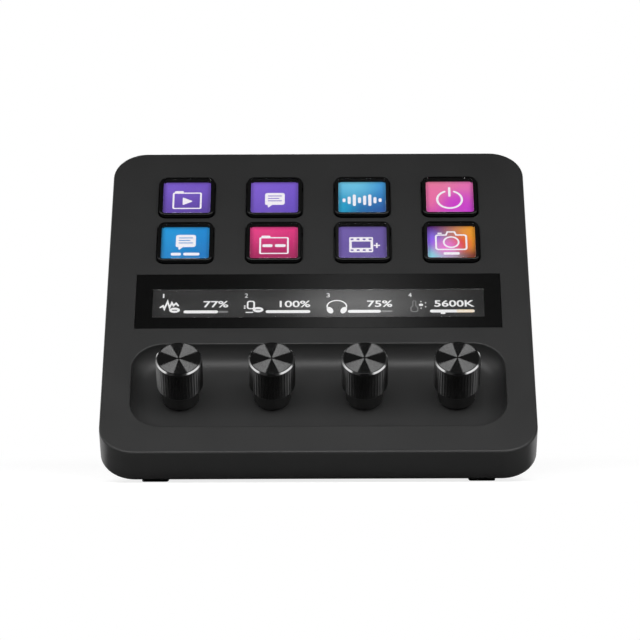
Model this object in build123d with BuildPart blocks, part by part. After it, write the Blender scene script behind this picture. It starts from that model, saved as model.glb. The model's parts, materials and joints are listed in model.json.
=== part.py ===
from build123d import *
import os
from math import cos, radians, sin, tan

# Macro keypad: a slanted panel with eight picture keys, a touch strip and four push dials, on a fixed stand.
# Millimetres, +Z up, front towards -Y. The origin lies on the desk, under the middle of the object.
# A place on the panel is (x, v): x across, v up the slope from the panel's lower edge.
# A level is a height along the panel's normal: 0 on the panel, negative inside the case.

os.makedirs("parts", exist_ok=True)

# ---- Driving dimensions: whole object ----
overall_depth = 138.0  # front edge of the panel to the rear edge of the stand
panel_width = 140.0
panel_tilt = 45.5  # slope of the panel over the desk, degrees
panel_corner_r = 11.5
panel_edge_r = 0.8
foot_height = 1.0  # what the feet stand proud of the underside

# ---- Driving dimensions: plain bands of the panel, from its lower edge to its upper edge ----
lower_band = 11.4  # lower edge to the trough
strip_band = 7.2  # trough to the strip's glass
key_band = 5.2  # glass to the key openings
header_band = 12.9  # key openings to the upper edge

# ---- Driving dimensions: what the panel's sides keep free ----
trough_side = 9.5
glass_side = 9.75
column_side = 25.4  # side of the panel to the middle of the outer keys and dials

# ---- Driving dimensions: case ----
front_wall = 12.7  # height of the front wall, square to the panel
body_depth = 25.0
nose_r = 4.0
seam_depth = 16.0  # panel face to the joint between front shell and rear cover
seam_chamfer = 0.35
wall = 2.2
face = 2.5  # thickness of the panel face
cover_edge_r = 4.0
lip_height = 1.5
lip_t = 1.2
lip_gap = 0.15
lip_length = 40.0
top_lip_length = 66.0

# ---- Driving dimensions: knob trough and touch strip ----
trough_l = 36.4
trough_r = 10.5
trough_depth = 6.5
trough_rim = 0.3  # straight wall left above the cove
trough_wall = 2.0
mouth_r = 0.4  # rounding of the trough's and key openings' rims

glass_l = 24.9
glass_t = 1.5
glass_gap = 0.12
strip_l = 12.9  # lit area
strip_side = 5.6  # side of the glass to the lit area
strip_drop = 1.45  # lit area's middle below the glass's middle
strip_margin = 0.6  # lit area to the edge of the ledge's window
strip_border = 1.9  # display past its lit area
strip_display_t = 2.2

# ---- Driving dimensions: keys ----
columns = 4
rows = 2
row_gap = 2.8  # between the key openings of two rows
key_opening = 19.1
key_opening_r = 2.8
key_gap = 0.25
key_rise = 1.4
key_edge_r = 0.5
key_travel = 1.2
key_flange = 0.7
key_flange_t = 1.2
rim_side = 1.25  # width of the black rim beside the window
rim_end = 0.8  # and above and below it
window_r = 1.0
window_t = 1.8
window_set = 0.3  # window's top below the rim's top
window_ledge = 0.7
window_gap = 0.02

# ---- Driving dimensions: display stack behind the keys ----
guide_side = 5.1  # guide frame past the outer key openings
guide_end = 2.5
flange_spare = 0.5  # room between a pressed key flange and the mat
guide_gap = 0.25  # key flange to guide wall
mat_t = 0.6
mat_lap = 0.75  # mat reaches under the key's sides
mat_bump_d = 1.2
mat_bump_gap = 0.15  # bump to a pressed key flange
key_display_t = 1.8
backlight_t = 2.0
pad_t = 2.2
pad_l = 5.0
pad_side = 5.5  # pads inside the guide's sides
pad_end = 5.3  # middle of a pad inside the guide's ends
stack_inset = 1.0  # display and light plate inside the guide's outline

# ---- Driving dimensions: dials ----
knob_d = 15.0
knob_step = 1.5  # foot of the knob inside its grip
knob_stand = 18.8  # trough floor to the top of the knob
knob_grip_l = 12.0
knob_gap = 0.8  # trough floor to the knob's underside
knob_top_chamfer = 0.5
knob_low_chamfer = 0.35
knob_pocket_gap = 0.9  # knob's pocket around the bushing
knob_pocket_spare = 2.1  # and over it, with the dial pressed
knob_roof = 3.0
dial_travel = 0.5
shaft_d = 6.0
shaft_flat = 4.5  # flat to the far side of the shaft
shaft_top_gap = 0.3
shaft_end_gap = 0.15
shaft_gap = 0.05  # running clearance, radial
knob_bore_gap = 0.02
encoder_size = 12.0
encoder_height = 7.0
encoder_lid = 1.5
encoder_floor = 0.9
encoder_wall = 0.8
bushing_wall = 0.8
bushing_l = 3.2
bushing_gap = 0.2
rotor_t = 2.0
rotor_gap = 0.3
rotor_side_gap = 0.4
pin_d = 0.8
pin_l = 2.6
pin_gap = 0.1
pin_offset_v = 4.6
pin_pitch = 2.5

# ---- Driving dimensions: boards and what is on them ----
board_t = 1.6
board_corner_r = 2.0
main_board_start = 11.1  # trough to the lower edge of the main board
main_board_gap = 0.55  # main board to the lip at the upper edge
main_board_side_gap = 0.9  # main board to the screw posts
encoder_board_side_gap = 1.5  # encoder board to the screw bosses
encoder_board_end = 0.5  # encoder board inside the trough's ends
usb_drop = 9.7  # cable inlet below the middle of the keys
usb_w = 8.94
usb_h = 3.26
usb_shell_t = 0.3
usb_mouth_gap = 0.2
usb_set_in = 0.4  # socket's mouth inside the back of the case
usb_base = (9.8, 5.2, 3.0)
usb_tongue = (6.7, 0.7)
usb_tongue_set_in = 1.2
usb_cavity_l = 7.5
controller_size = (14.0, 14.0, 1.4)
memory_size = (8.0, 6.0, 1.0)
socket_size = (16.0, 3.2, 1.2)
strip_tape_rise = 4.15  # strip's tape above the middle of its display
key_tape_reach = 2.5  # key display's tape past its lower edge
ribbon_main_inset = 4.0  # ribbon inside the edge of each board
ribbon_encoder_inset = 3.4
tape_w = 12.0
tape_t = 0.3
tape_bend_r = 0.6
ribbon_sag = 1.6

# ---- Driving dimensions: screws ----
screw_d = 3.0
screw_head_d = 5.4
screw_head_t = 1.7
screw_drive_d = 2.0
screw_drive_l = 1.0
screw_gap = 0.05  # thread in its pilot hole, radial
screw_hole_gap = 0.25  # shank in a passing hole, radial
head_gap = 0.35
tip_gap = 0.6
case_screw_side = 5.5  # side of the panel to the case screws
case_screw_low = 16.0  # lower edge of the panel to the lowest case screws
case_screw_high = 12.0  # upper edge to the highest
case_post_wall = 2.1
case_boss_wall = 0.95
case_seat_t = 3.0  # seam to the screw heads' seats
case_bite = 7.0
stand_screw_drop = 12.0  # upper stand screws below the stand's top
stand_boss_wall = 2.0
stand_boss_roof = 1.8
stand_boss_gap = 0.5  # stand bosses to the encoder board
board_screw_d = 2.2
board_head_d = 4.2
board_head_t = 1.2
board_bite = 4.5
board_post_wall = 1.15
board_post_gap = 0.25  # posts to the key guide
board_drive_d = 1.5
board_drive_l = 0.7
encoder_screw_offset = 11.0
main_screw_side_low = 8.0  # side of the main board to its lower screws
main_screw_side_high = 20.0  # and to its upper screws

# ---- Driving dimensions: stand and feet ----
stand_side = 14.0  # side of the panel to the stand
stand_base_t = 6.0
stand_leg_t = 4.0
stand_leg_drop = 12.0  # cable inlet to the stand's top
stand_bend_r = 10.0
stand_heel_r = 1.2
stand_rear_r = 12.0
stand_top_r = 8.0
stand_edge_r = 0.8
ballast_side = 14.0
ballast_l = 64.0
ballast_t = 2.0
ballast_r = 3.0
ballast_gap = 0.15
ballast_rear_margin = 14.0
ballast_screw_inset = 6.0
ballast_bite = 3.0
countersink_d = 5.6
countersink_t = 1.3
foot_seat = 0.8  # depth of the pockets that hold the feet
foot_gap = 0.05
foot_r = 1.5
foot_edge_r = 0.3
front_foot_side = 17.5  # side of the panel to the middle of a front foot
front_foot_w = 8.4
front_foot_end = 1.6  # feet inside the corners of the rear cover's underside
rear_foot_side = 5.5  # side of the stand to the middle of a rear foot
rear_foot_w = 8.4
rear_foot_l = 22.0
rear_foot_margin = 15.0

# ---- Frame of the panel ----
rise = sin(radians(panel_tilt))
run = cos(radians(panel_tilt))
panel_front = -overall_depth / 2 - panel_edge_r * (rise + run - 1)
panel_foot = foot_height + front_wall * run
panel = Plane(origin=(0, panel_front, panel_foot), x_dir=(1, 0, 0), z_dir=(0, -rise, run))
profile = Plane(origin=panel.origin, x_dir=(0, run, rise), z_dir=(1, 0, 0))
panel_axis = Axis(panel.origin, panel.z_dir)
desk = Plane.XY
underside = Plane.XY.offset(foot_height)


def level(height):
    """Plane parallel to the panel at a height along its normal."""
    return panel.offset(height)


def desk_point(v, height):
    """Depth along Y and height over the desk of a point of the profile."""
    return panel_front + v * run - height * rise, panel_foot + v * rise + height * run


def underside_v(depth):
    """How far up the slope the flat underside has come at a depth below the panel."""
    return (depth - front_wall) / tan(radians(panel_tilt))


# ---- Sizes that follow ----
trough_w = panel_width - 2 * trough_side
trough_cove_r = trough_depth - trough_rim
glass_w = panel_width - 2 * glass_side
strip_w = glass_w - 2 * strip_side
column_pitch = (panel_width - 2 * column_side) / (columns - 1)
row_pitch = key_opening + row_gap
key_block_w = column_pitch * (columns - 1) + key_opening
key_block_l = row_pitch * (rows - 1) + key_opening
key_size = key_opening - 2 * key_gap
key_r = key_opening_r - key_gap
window_w = key_size - 2 * rim_side
window_l = key_size - 2 * rim_end
guide_w = key_block_w + 2 * guide_side
guide_l = key_block_l + 2 * guide_end
guide_t = key_flange_t + key_travel + flange_spare
mat_hole = key_size - 2 * mat_lap
mat_bump_t = flange_spare - mat_bump_gap
chamber_d = encoder_size - 2 * encoder_wall
rotor_d = chamber_d - 2 * rotor_side_gap
bushing_d = shaft_d + 2 * bushing_wall
knob_foot_d = knob_d - 2 * knob_step
knob_pocket_d = bushing_d + 2 * knob_pocket_gap
case_post_d = screw_d + 2 * case_post_wall
case_boss_d = screw_head_d + 2 * (head_gap + case_boss_wall)
stand_boss_d = screw_d + 2 * stand_boss_wall
board_post_d = board_screw_d + 2 * board_post_wall
stand_w = panel_width - 2 * stand_side
ballast_w = stand_w - 2 * ballast_side

# ---- Levels ----
trough_floor = -trough_depth
trough_under = trough_floor - trough_wall
window_top = key_rise - window_set
window_seat = window_top - window_t
guide_bottom = -face - guide_t
mat_bottom = guide_bottom - mat_t
key_display_bottom = mat_bottom - key_display_t
backlight_bottom = key_display_bottom - backlight_t
main_board_top = backlight_bottom - pad_t
main_board_bottom = main_board_top - board_t
encoder_bottom = trough_under - encoder_height
encoder_board_bottom = encoder_bottom - board_t
bushing_top = trough_under + bushing_l
rotor_top = trough_under - encoder_lid - rotor_gap
knob_bottom = trough_floor + knob_gap
knob_top = trough_floor + knob_stand
grip_bottom = knob_top - knob_grip_l
knob_pocket_l = bushing_top - knob_bottom + dial_travel + knob_pocket_spare
shaft_bottom = encoder_bottom + encoder_floor + dial_travel + shaft_end_gap
shaft_top = knob_top - knob_roof - shaft_top_gap
case_seat = seam_depth + case_seat_t
stand_boss_l = body_depth + encoder_board_bottom - stand_boss_gap
stand_bite = stand_boss_l - stand_boss_roof - tip_gap
usb_mouth = -body_depth + usb_set_in

# ---- Places up the slope ----
heel_v = underside_v(body_depth)
trough_v = lower_band + trough_l / 2
trough_end_v = lower_band + trough_l
glass_v = trough_end_v + strip_band + glass_l / 2
strip_v = glass_v - strip_drop
key_block_v = glass_v + glass_l / 2 + key_band + key_block_l / 2
panel_length = key_block_v + key_block_l / 2 + header_band
usb_v = key_block_v - usb_drop
stand_leg_top = usb_v - stand_leg_drop
case_screw_ends = (case_screw_low, panel_length - case_screw_high)
case_screw_v = (case_screw_ends[0], sum(case_screw_ends) / 2, case_screw_ends[1])
lip_places_v = (sum(case_screw_v[:2]) / 2, sum(case_screw_v[1:]) / 2)
top_lip_v = panel_length - wall - lip_gap - lip_t / 2
top_root_v = panel_length - wall - (lip_gap + lip_t) / 2
main_board_v = (trough_end_v + main_board_start, top_lip_v - lip_t / 2 - main_board_gap)
encoder_board_v = (lower_band + encoder_board_end, trough_end_v - encoder_board_end)
main_screw_reach = guide_l / 2 + board_post_gap + board_post_d / 2
display_edge_v = key_block_v - guide_l / 2 + stack_inset
strip_socket_v = strip_v + strip_tape_rise
key_socket_v = display_edge_v - key_tape_reach
ribbon_main_v = main_board_v[0] + ribbon_main_inset
ribbon_encoder_v = encoder_board_v[1] - ribbon_encoder_inset

# ---- Places across ----
case_screw_x = panel_width / 2 - case_screw_side
main_board_w = 2 * (case_screw_x - case_post_d / 2 - main_board_side_gap)
encoder_board_w = 2 * (case_screw_x - case_boss_d / 2 - encoder_board_side_gap)
main_screw_x = (main_board_w / 2 - main_screw_side_low, main_board_w / 2 - main_screw_side_high)
side_lip_x = panel_width / 2 - wall - lip_gap - lip_t / 2
side_root_x = panel_width / 2 - wall - (lip_gap + lip_t) / 2
front_foot_x = panel_width / 2 - front_foot_side
rear_foot_x = stand_w / 2 - rear_foot_side

# ---- Places of what repeats ----
column_x = [column_pitch * (index - (columns - 1) / 2) for index in range(columns)]
row_v = [key_block_v + row_pitch * ((rows - 1) / 2 - index) for index in range(rows)]
key_places = [(x, v) for v in row_v for x in column_x]
dial_places = [(x, trough_v) for x in column_x]
case_screw_places = [(side * case_screw_x, v) for side in (-1, 1) for v in case_screw_v]
side_lip_places = [(side * side_lip_x, v) for side in (-1, 1) for v in lip_places_v]
side_root_places = [(side * side_root_x, v) for side in (-1, 1) for v in lip_places_v]
stand_screw_v = (trough_v, stand_leg_top - stand_screw_drop)
stand_screw_places = [(side * column_pitch, v) for side in (-1, 1) for v in stand_screw_v]
main_screw_places = [
    (side * x, key_block_v + step * main_screw_reach)
    for step, x in zip((-1, 1), main_screw_x)
    for side in (-1, 1)
]
encoder_screw_places = [
    (side * column_pitch, trough_v + step * encoder_screw_offset) for side in (-1, 1) for step in (-1, 1)
]
pad_places = [(0, key_block_v + side * (guide_l / 2 - pad_end)) for side in (-1, 1)]
pin_offsets = [
    (-pin_pitch, -pin_offset_v),
    (0, -pin_offset_v),
    (pin_pitch, -pin_offset_v),
    (-pin_pitch, pin_offset_v),
    (pin_pitch, pin_offset_v),
]
pin_places = [(x + dx, v + dv) for x, v in dial_places for dx, dv in pin_offsets]
bump_sides = [(-key_size / 2, 0), (key_size / 2, 0), (0, -key_size / 2), (0, key_size / 2)]
bump_places = [(x + dx, v + dv) for x, v in key_places for dx, dv in bump_sides]
seam_corner_y = desk_point(underside_v(seam_depth), -seam_depth)[0]
heel_y = desk_point(heel_v, -body_depth)[0]
front_foot_l = heel_y - seam_corner_y - 2 * front_foot_end
front_foot_y = (seam_corner_y + heel_y) / 2
front_foot_places = [(side * front_foot_x, front_foot_y) for side in (-1, 1)]
rear_foot_y = overall_depth / 2 - rear_foot_margin
rear_foot_places = [(side * rear_foot_x, rear_foot_y) for side in (-1, 1)]
ballast_y = overall_depth / 2 - ballast_rear_margin - ballast_l / 2
ballast_screw_x = ballast_w / 2 - ballast_screw_inset
ballast_screw_reach = ballast_l / 2 - ballast_screw_inset
ballast_screw_places = [
    (side * ballast_screw_x, ballast_y + end * ballast_screw_reach) for side in (-1, 1) for end in (-1, 1)
]

body_corners = [
    (0, 0),
    (0, -front_wall),
    (heel_v, -body_depth),
    (panel_length, -body_depth),
    (panel_length, 0),
]


def discs(places, diameter):
    """Equal discs at places of the open sketch."""
    with Locations(*places):
        Circle(diameter / 2)


def plates(places, width, length, corner_r, gap=0.0):
    """Equal rounded rectangles at places of the open sketch, widened all round by the gap."""
    with Locations(*places):
        RectangleRounded(width + 2 * gap, length + 2 * gap, corner_r + gap)


def shaft_section(place, gap=0.0):
    """Section of a dial's shaft, round with one flat, widened by the gap."""
    flat_edge = place[1] + shaft_flat - shaft_d / 2 + gap
    with Locations(place):
        Circle(shaft_d / 2 + gap)
    with Locations((place[0], flat_edge + shaft_d / 2)):
        Rectangle(2 * shaft_d, shaft_d, mode=Mode.SUBTRACT)


def front_outline(inset=0.0):
    """Prism running level from front to back, with the outline of the panel less an inset."""
    with BuildPart() as prism:
        with BuildSketch(level(-front_wall)):
            with Locations((0, inset / rise + panel_length)):
                RectangleRounded(panel_width - 2 * inset, 2 * panel_length, panel_corner_r - inset)
        extrude(amount=2 * overall_depth, dir=(0, 1, 0), both=True)
    return prism


def pan_head_screws(places, seat, length, shank, head, head_t, drive, drive_l):
    """Screws square to the panel: heads under the seat level, shanks up from it."""
    with BuildPart() as screws:
        with BuildSketch(level(seat)):
            discs(places, head)
        extrude(amount=-head_t)
        with BuildSketch(level(seat)):
            discs(places, shank)
        extrude(amount=length)
        with BuildSketch(level(seat - head_t)):
            with Locations(*places):
                RegularPolygon(drive / 2, 6)
        extrude(amount=drive_l, mode=Mode.SUBTRACT)
    return screws


# ---- Form of the closed case, outside and inside ----
with BuildPart() as body_form:
    with BuildSketch(panel):
        with Locations((0, panel_length / 2)):
            RectangleRounded(panel_width, panel_length, panel_corner_r)
    extrude(amount=-body_depth)
    fillet(body_form.faces().sort_by(panel_axis)[0].edges(), cover_edge_r)
    with BuildSketch(profile):
        with BuildLine():
            Polyline(*body_corners, close=True)
        make_face()
    extrude(amount=panel_width / 2, both=True, mode=Mode.INTERSECT)
    add(front_outline().part, mode=Mode.INTERSECT)
    fillet(body_form.edges().filter_by(panel).group_by(panel_axis)[-2], nose_r)

with BuildPart() as body_hollow:
    with BuildSketch(level(-face)):
        with Locations((0, panel_length / 2)):
            RectangleRounded(panel_width - 2 * wall, panel_length - 2 * wall, panel_corner_r - wall)
    extrude(amount=-(body_depth - wall - face))
    fillet(body_hollow.faces().sort_by(panel_axis)[0].edges(), cover_edge_r - wall)
    with BuildSketch(profile):
        with BuildLine():
            Polyline(*body_corners, close=True)
        make_face()
        offset(amount=-wall, kind=Kind.INTERSECTION, mode=Mode.REPLACE)
    extrude(amount=panel_width / 2 - wall, both=True, mode=Mode.INTERSECT)
    add(front_outline(wall).part, mode=Mode.INTERSECT)

with BuildPart() as trough_space:
    with BuildSketch(panel):
        with Locations((0, trough_v)):
            RectangleRounded(trough_w, trough_l, trough_r)
    extrude(amount=-trough_depth)
    fillet(trough_space.faces().sort_by(panel_axis)[0].edges(), trough_cove_r)

# ---- Front shell: panel, side walls, trough, strip pocket, key openings and posts ----
with BuildPart() as front_shell:
    add(body_form.part)
    split(bisect_by=level(-seam_depth), keep=Keep.TOP)
    fillet(front_shell.faces().sort_by(panel_axis)[-1].edges(), panel_edge_r)
    chamfer(front_shell.faces().sort_by(panel_axis)[0].edges(), seam_chamfer)
    add(body_hollow.part, mode=Mode.SUBTRACT)
    with BuildSketch(level(-face)):
        plates([(0, trough_v)], trough_w, trough_l, trough_r, trough_wall)
    extrude(amount=-(trough_depth + trough_wall - face))
    add(trough_space.part, mode=Mode.SUBTRACT)
    with BuildSketch(panel):
        with Locations(*key_places):
            RectangleRounded(key_opening, key_opening, key_opening_r)
    extrude(amount=-face, mode=Mode.SUBTRACT)
    rims = front_shell.faces().sort_by(panel_axis)[-1].inner_wires()
    fillet([edge for rim in rims for edge in rim.edges()], mouth_r)
    with BuildSketch(panel):
        with Locations((0, glass_v)):
            Rectangle(glass_w + 2 * glass_gap, glass_l + 2 * glass_gap)
    extrude(amount=-glass_t, mode=Mode.SUBTRACT)
    with BuildSketch(panel):
        with Locations((0, strip_v)):
            Rectangle(strip_w + 2 * strip_margin, strip_l + 2 * strip_margin)
    extrude(amount=-face, mode=Mode.SUBTRACT)
    with BuildSketch(level(trough_floor)):
        discs(dial_places, bushing_d + 2 * bushing_gap)
    extrude(amount=-trough_wall, mode=Mode.SUBTRACT)
    with BuildSketch(level(-face)):
        discs(case_screw_places, case_post_d)
    extrude(amount=-(seam_depth - face))
    with BuildSketch(level(-face)):
        discs(main_screw_places, board_post_d)
    extrude(amount=main_board_top + face)
    with BuildSketch(level(trough_under)):
        discs(encoder_screw_places, board_post_d)
    extrude(amount=-encoder_height)
    with BuildSketch(level(-seam_depth)):
        discs(case_screw_places, screw_d + 2 * screw_gap)
    extrude(amount=case_bite + tip_gap, mode=Mode.SUBTRACT)
    with BuildSketch(level(main_board_top)):
        discs(main_screw_places, board_screw_d + 2 * screw_gap)
    extrude(amount=board_bite + tip_gap, mode=Mode.SUBTRACT)
    with BuildSketch(level(encoder_bottom)):
        discs(encoder_screw_places, board_screw_d + 2 * screw_gap)
    extrude(amount=board_bite + tip_gap, mode=Mode.SUBTRACT)
front_shell.part.label = "front_shell"
export_step(front_shell.part, "parts/front_shell.step")

# ---- Rear cover: back wall, underside, screw bosses, lips, socket mouth and foot pockets ----
with BuildPart() as cover_bosses:
    with BuildSketch(level(-seam_depth)):
        discs(case_screw_places, case_boss_d)
    extrude(amount=-(body_depth - seam_depth))
    with BuildSketch(level(-body_depth)):
        discs(stand_screw_places, stand_boss_d)
    extrude(amount=stand_boss_l)
    add(body_form.part, mode=Mode.INTERSECT)

with BuildPart() as rear_cover:
    add(body_form.part)
    split(bisect_by=level(-seam_depth), keep=Keep.BOTTOM)
    chamfer(rear_cover.faces().sort_by(panel_axis)[-1].edges(), seam_chamfer)
    add(body_hollow.part, mode=Mode.SUBTRACT)
    add(cover_bosses.part)
    with BuildSketch(level(-seam_depth)):
        with Locations(*side_root_places):
            Rectangle(lip_gap + lip_t, lip_length)
        with Locations((0, top_root_v)):
            Rectangle(top_lip_length, lip_gap + lip_t)
    extrude(amount=-lip_height)
    with BuildSketch(level(-seam_depth)):
        with Locations(*side_lip_places):
            Rectangle(lip_t, lip_length)
        with Locations((0, top_lip_v)):
            Rectangle(top_lip_length, lip_t)
    extrude(amount=lip_height)
    with BuildSketch(level(-seam_depth)):
        discs(case_screw_places, screw_d + 2 * screw_hole_gap)
    extrude(amount=-body_depth, mode=Mode.SUBTRACT)
    with BuildSketch(level(-case_seat)):
        discs(case_screw_places, screw_head_d + 2 * head_gap)
    extrude(amount=-body_depth, mode=Mode.SUBTRACT)
    with BuildSketch(level(-body_depth)):
        discs(stand_screw_places, screw_d + 2 * screw_gap)
    extrude(amount=stand_bite + tip_gap, mode=Mode.SUBTRACT)
    with BuildSketch(level(-body_depth)):
        with Locations((0, usb_v)):
            SlotOverall(usb_w + 2 * usb_mouth_gap, usb_h + 2 * usb_mouth_gap)
    extrude(amount=wall, mode=Mode.SUBTRACT)
    with BuildSketch(underside):
        plates(front_foot_places, front_foot_w, front_foot_l, foot_r, foot_gap)
    extrude(amount=foot_seat, mode=Mode.SUBTRACT)
rear_cover.part.label = "rear_cover"
export_step(rear_cover.part, "parts/rear_cover.step")

# ---- Touch strip: glass in its pocket, display behind the ledge ----
with BuildPart() as strip_glass:
    with BuildSketch(panel):
        with Locations((0, glass_v)):
            Rectangle(glass_w, glass_l)
    extrude(amount=-glass_t)
strip_glass.part.label = "strip_glass"
export_step(strip_glass.part, "parts/strip_glass.step")

with BuildPart() as strip_display:
    with BuildSketch(level(-face)):
        with Locations((0, strip_v)):
            Rectangle(strip_w + 2 * strip_border, strip_l + 2 * strip_border)
    extrude(amount=-strip_display_t)
strip_display.part.label = "strip_display"
export_step(strip_display.part, "parts/strip_display.step")

# ---- Key guide: a frame whose walls steer the key flanges ----
guide_opening = key_size + 2 * key_flange + 2 * guide_gap
guide_opening_r = key_r + key_flange + guide_gap
with BuildPart() as key_guide:
    with BuildSketch(level(-face)):
        with Locations((0, key_block_v)):
            Rectangle(guide_w, guide_l)
        with Locations(*key_places):
            RectangleRounded(guide_opening, guide_opening, guide_opening_r, mode=Mode.SUBTRACT)
    extrude(amount=-guide_t)
key_guide.part.label = "key_guide"
export_step(key_guide.part, "parts/key_guide.step")

# ---- Return mat: silicone sheet with four bumps under each key's flange ----
with BuildPart() as key_mat:
    with BuildSketch(level(guide_bottom)):
        with Locations((0, key_block_v)):
            Rectangle(guide_w, guide_l)
        with Locations(*key_places):
            Rectangle(mat_hole, mat_hole, mode=Mode.SUBTRACT)
    extrude(amount=-mat_t)
    with BuildSketch(level(guide_bottom)):
        discs(bump_places, mat_bump_d)
    extrude(amount=mat_bump_t)
key_mat.part.label = "key_mat"
export_step(key_mat.part, "parts/key_mat.step")

# ---- Display panel, light plate and foam pads behind the keys ----
with BuildPart() as key_display:
    with BuildSketch(level(mat_bottom)):
        with Locations((0, key_block_v)):
            Rectangle(guide_w - 2 * stack_inset, guide_l - 2 * stack_inset)
    extrude(amount=-key_display_t)
key_display.part.label = "key_display"
export_step(key_display.part, "parts/key_display.step")

with BuildPart() as key_backlight:
    with BuildSketch(level(key_display_bottom)):
        with Locations((0, key_block_v)):
            Rectangle(guide_w - 2 * stack_inset, guide_l - 2 * stack_inset)
    extrude(amount=-backlight_t)
key_backlight.part.label = "key_backlight"
export_step(key_backlight.part, "parts/key_backlight.step")

with BuildPart() as foam_pads:
    with BuildSketch(level(backlight_bottom)):
        with Locations(*pad_places):
            Rectangle(guide_w - 2 * pad_side, pad_l)
    extrude(amount=-pad_t)
foam_pads.part.label = "foam_pads"
export_step(foam_pads.part, "parts/foam_pads.step")

# ---- Keys: black rim with a flange, and the clear window seated in it ----
for number, place in enumerate(key_places, 1):
    with BuildPart() as key_rim:
        with BuildSketch(level(key_rise)):
            plates([place], key_size, key_size, key_r)
        extrude(amount=-(key_rise + face + key_flange_t))
        fillet(key_rim.faces().sort_by(panel_axis)[-1].edges(), key_edge_r)
        with BuildSketch(level(-face)):
            plates([place], key_size, key_size, key_r, key_flange)
        extrude(amount=-key_flange_t)
        with BuildSketch(level(key_rise)):
            plates([place], window_w, window_l, window_r, window_gap)
        extrude(amount=-(key_rise - window_seat), mode=Mode.SUBTRACT)
        with BuildSketch(level(window_seat)):
            with Locations(place):
                Rectangle(window_w - 2 * window_ledge, window_l - 2 * window_ledge)
        extrude(amount=-(window_seat + face + key_flange_t), mode=Mode.SUBTRACT)
    key_rim.part.label = f"key_rim_{number}"
    export_step(key_rim.part, f"parts/key_rim_{number}.step")

    with BuildPart() as key_window:
        with BuildSketch(level(window_top)):
            plates([place], window_w, window_l, window_r)
        extrude(amount=-window_t)
    key_window.part.label = f"key_window_{number}"
    export_step(key_window.part, f"parts/key_window_{number}.step")

# ---- Boards ----
with BuildPart() as main_board:
    with BuildSketch(level(main_board_top)):
        with Locations((0, (main_board_v[0] + main_board_v[1]) / 2)):
            RectangleRounded(main_board_w, main_board_v[1] - main_board_v[0], board_corner_r)
        with Locations(*main_screw_places):
            Circle(board_screw_d / 2 + screw_hole_gap, mode=Mode.SUBTRACT)
    extrude(amount=-board_t)
main_board.part.label = "main_board"
export_step(main_board.part, "parts/main_board.step")

with BuildPart() as encoder_board:
    with BuildSketch(level(encoder_bottom)):
        with Locations((0, (encoder_board_v[0] + encoder_board_v[1]) / 2)):
            RectangleRounded(encoder_board_w, encoder_board_v[1] - encoder_board_v[0], board_corner_r)
        with Locations(*encoder_screw_places):
            Circle(board_screw_d / 2 + screw_hole_gap, mode=Mode.SUBTRACT)
        with Locations(*pin_places):
            Circle(pin_d / 2 + pin_gap, mode=Mode.SUBTRACT)
    extrude(amount=-board_t)
encoder_board.part.label = "encoder_board"
export_step(encoder_board.part, "parts/encoder_board.step")

# ---- Chips, sockets, tapes and ribbon ----
with BuildPart() as controller_chip:
    with BuildSketch(level(main_board_bottom)):
        with Locations((-column_pitch, key_block_v)):
            Rectangle(controller_size[0], controller_size[1])
    extrude(amount=-controller_size[2])
controller_chip.part.label = "controller_chip"
export_step(controller_chip.part, "parts/controller_chip.step")

with BuildPart() as memory_chip:
    with BuildSketch(level(main_board_bottom)):
        with Locations((column_pitch, key_block_v)):
            Rectangle(memory_size[0], memory_size[1])
    extrude(amount=-memory_size[2])
memory_chip.part.label = "memory_chip"
export_step(memory_chip.part, "parts/memory_chip.step")

with BuildPart() as cable_sockets:
    with BuildSketch(level(main_board_top)):
        with Locations((0, strip_socket_v), (0, key_socket_v)):
            Rectangle(socket_size[0], socket_size[1])
    extrude(amount=socket_size[2])
    with BuildSketch(level(main_board_bottom)):
        with Locations((0, ribbon_main_v)):
            Rectangle(socket_size[0], socket_size[1])
    extrude(amount=-socket_size[2])
    with BuildSketch(level(encoder_board_bottom)):
        with Locations((0, ribbon_encoder_v)):
            Rectangle(socket_size[0], socket_size[1])
    extrude(amount=-socket_size[2])
cable_sockets.part.label = "cable_sockets"
export_step(cable_sockets.part, "parts/cable_sockets.step")

display_middle = mat_bottom - key_display_t / 2
tape_end = main_board_top + socket_size[2]
with BuildPart() as flex_tapes:
    with BuildSketch(profile):
        with BuildLine():
            FilletPolyline(
                (display_edge_v, display_middle),
                (key_socket_v, display_middle),
                (key_socket_v, tape_end),
                radius=tape_bend_r,
            )
        trace(line_width=tape_t)
    extrude(amount=tape_w / 2, both=True)
    with BuildSketch(level(-face - strip_display_t)):
        with Locations((0, strip_socket_v)):
            Rectangle(tape_w, tape_t)
    extrude(amount=tape_end + face + strip_display_t)
flex_tapes.part.label = "flex_tapes"
export_step(flex_tapes.part, "parts/flex_tapes.step")

ribbon_main_end = main_board_bottom - socket_size[2]
ribbon_encoder_end = encoder_board_bottom - socket_size[2]
with BuildPart() as board_ribbon:
    with BuildSketch(profile):
        with BuildLine():
            FilletPolyline(
                (ribbon_main_v, ribbon_main_end),
                (ribbon_main_v, ribbon_main_end - ribbon_sag),
                (ribbon_encoder_v, ribbon_encoder_end - ribbon_sag),
                (ribbon_encoder_v, ribbon_encoder_end),
                radius=tape_bend_r,
            )
        trace(line_width=tape_t)
    extrude(amount=tape_w / 2, both=True)
board_ribbon.part.label = "board_ribbon"
export_step(board_ribbon.part, "parts/board_ribbon.step")

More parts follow.
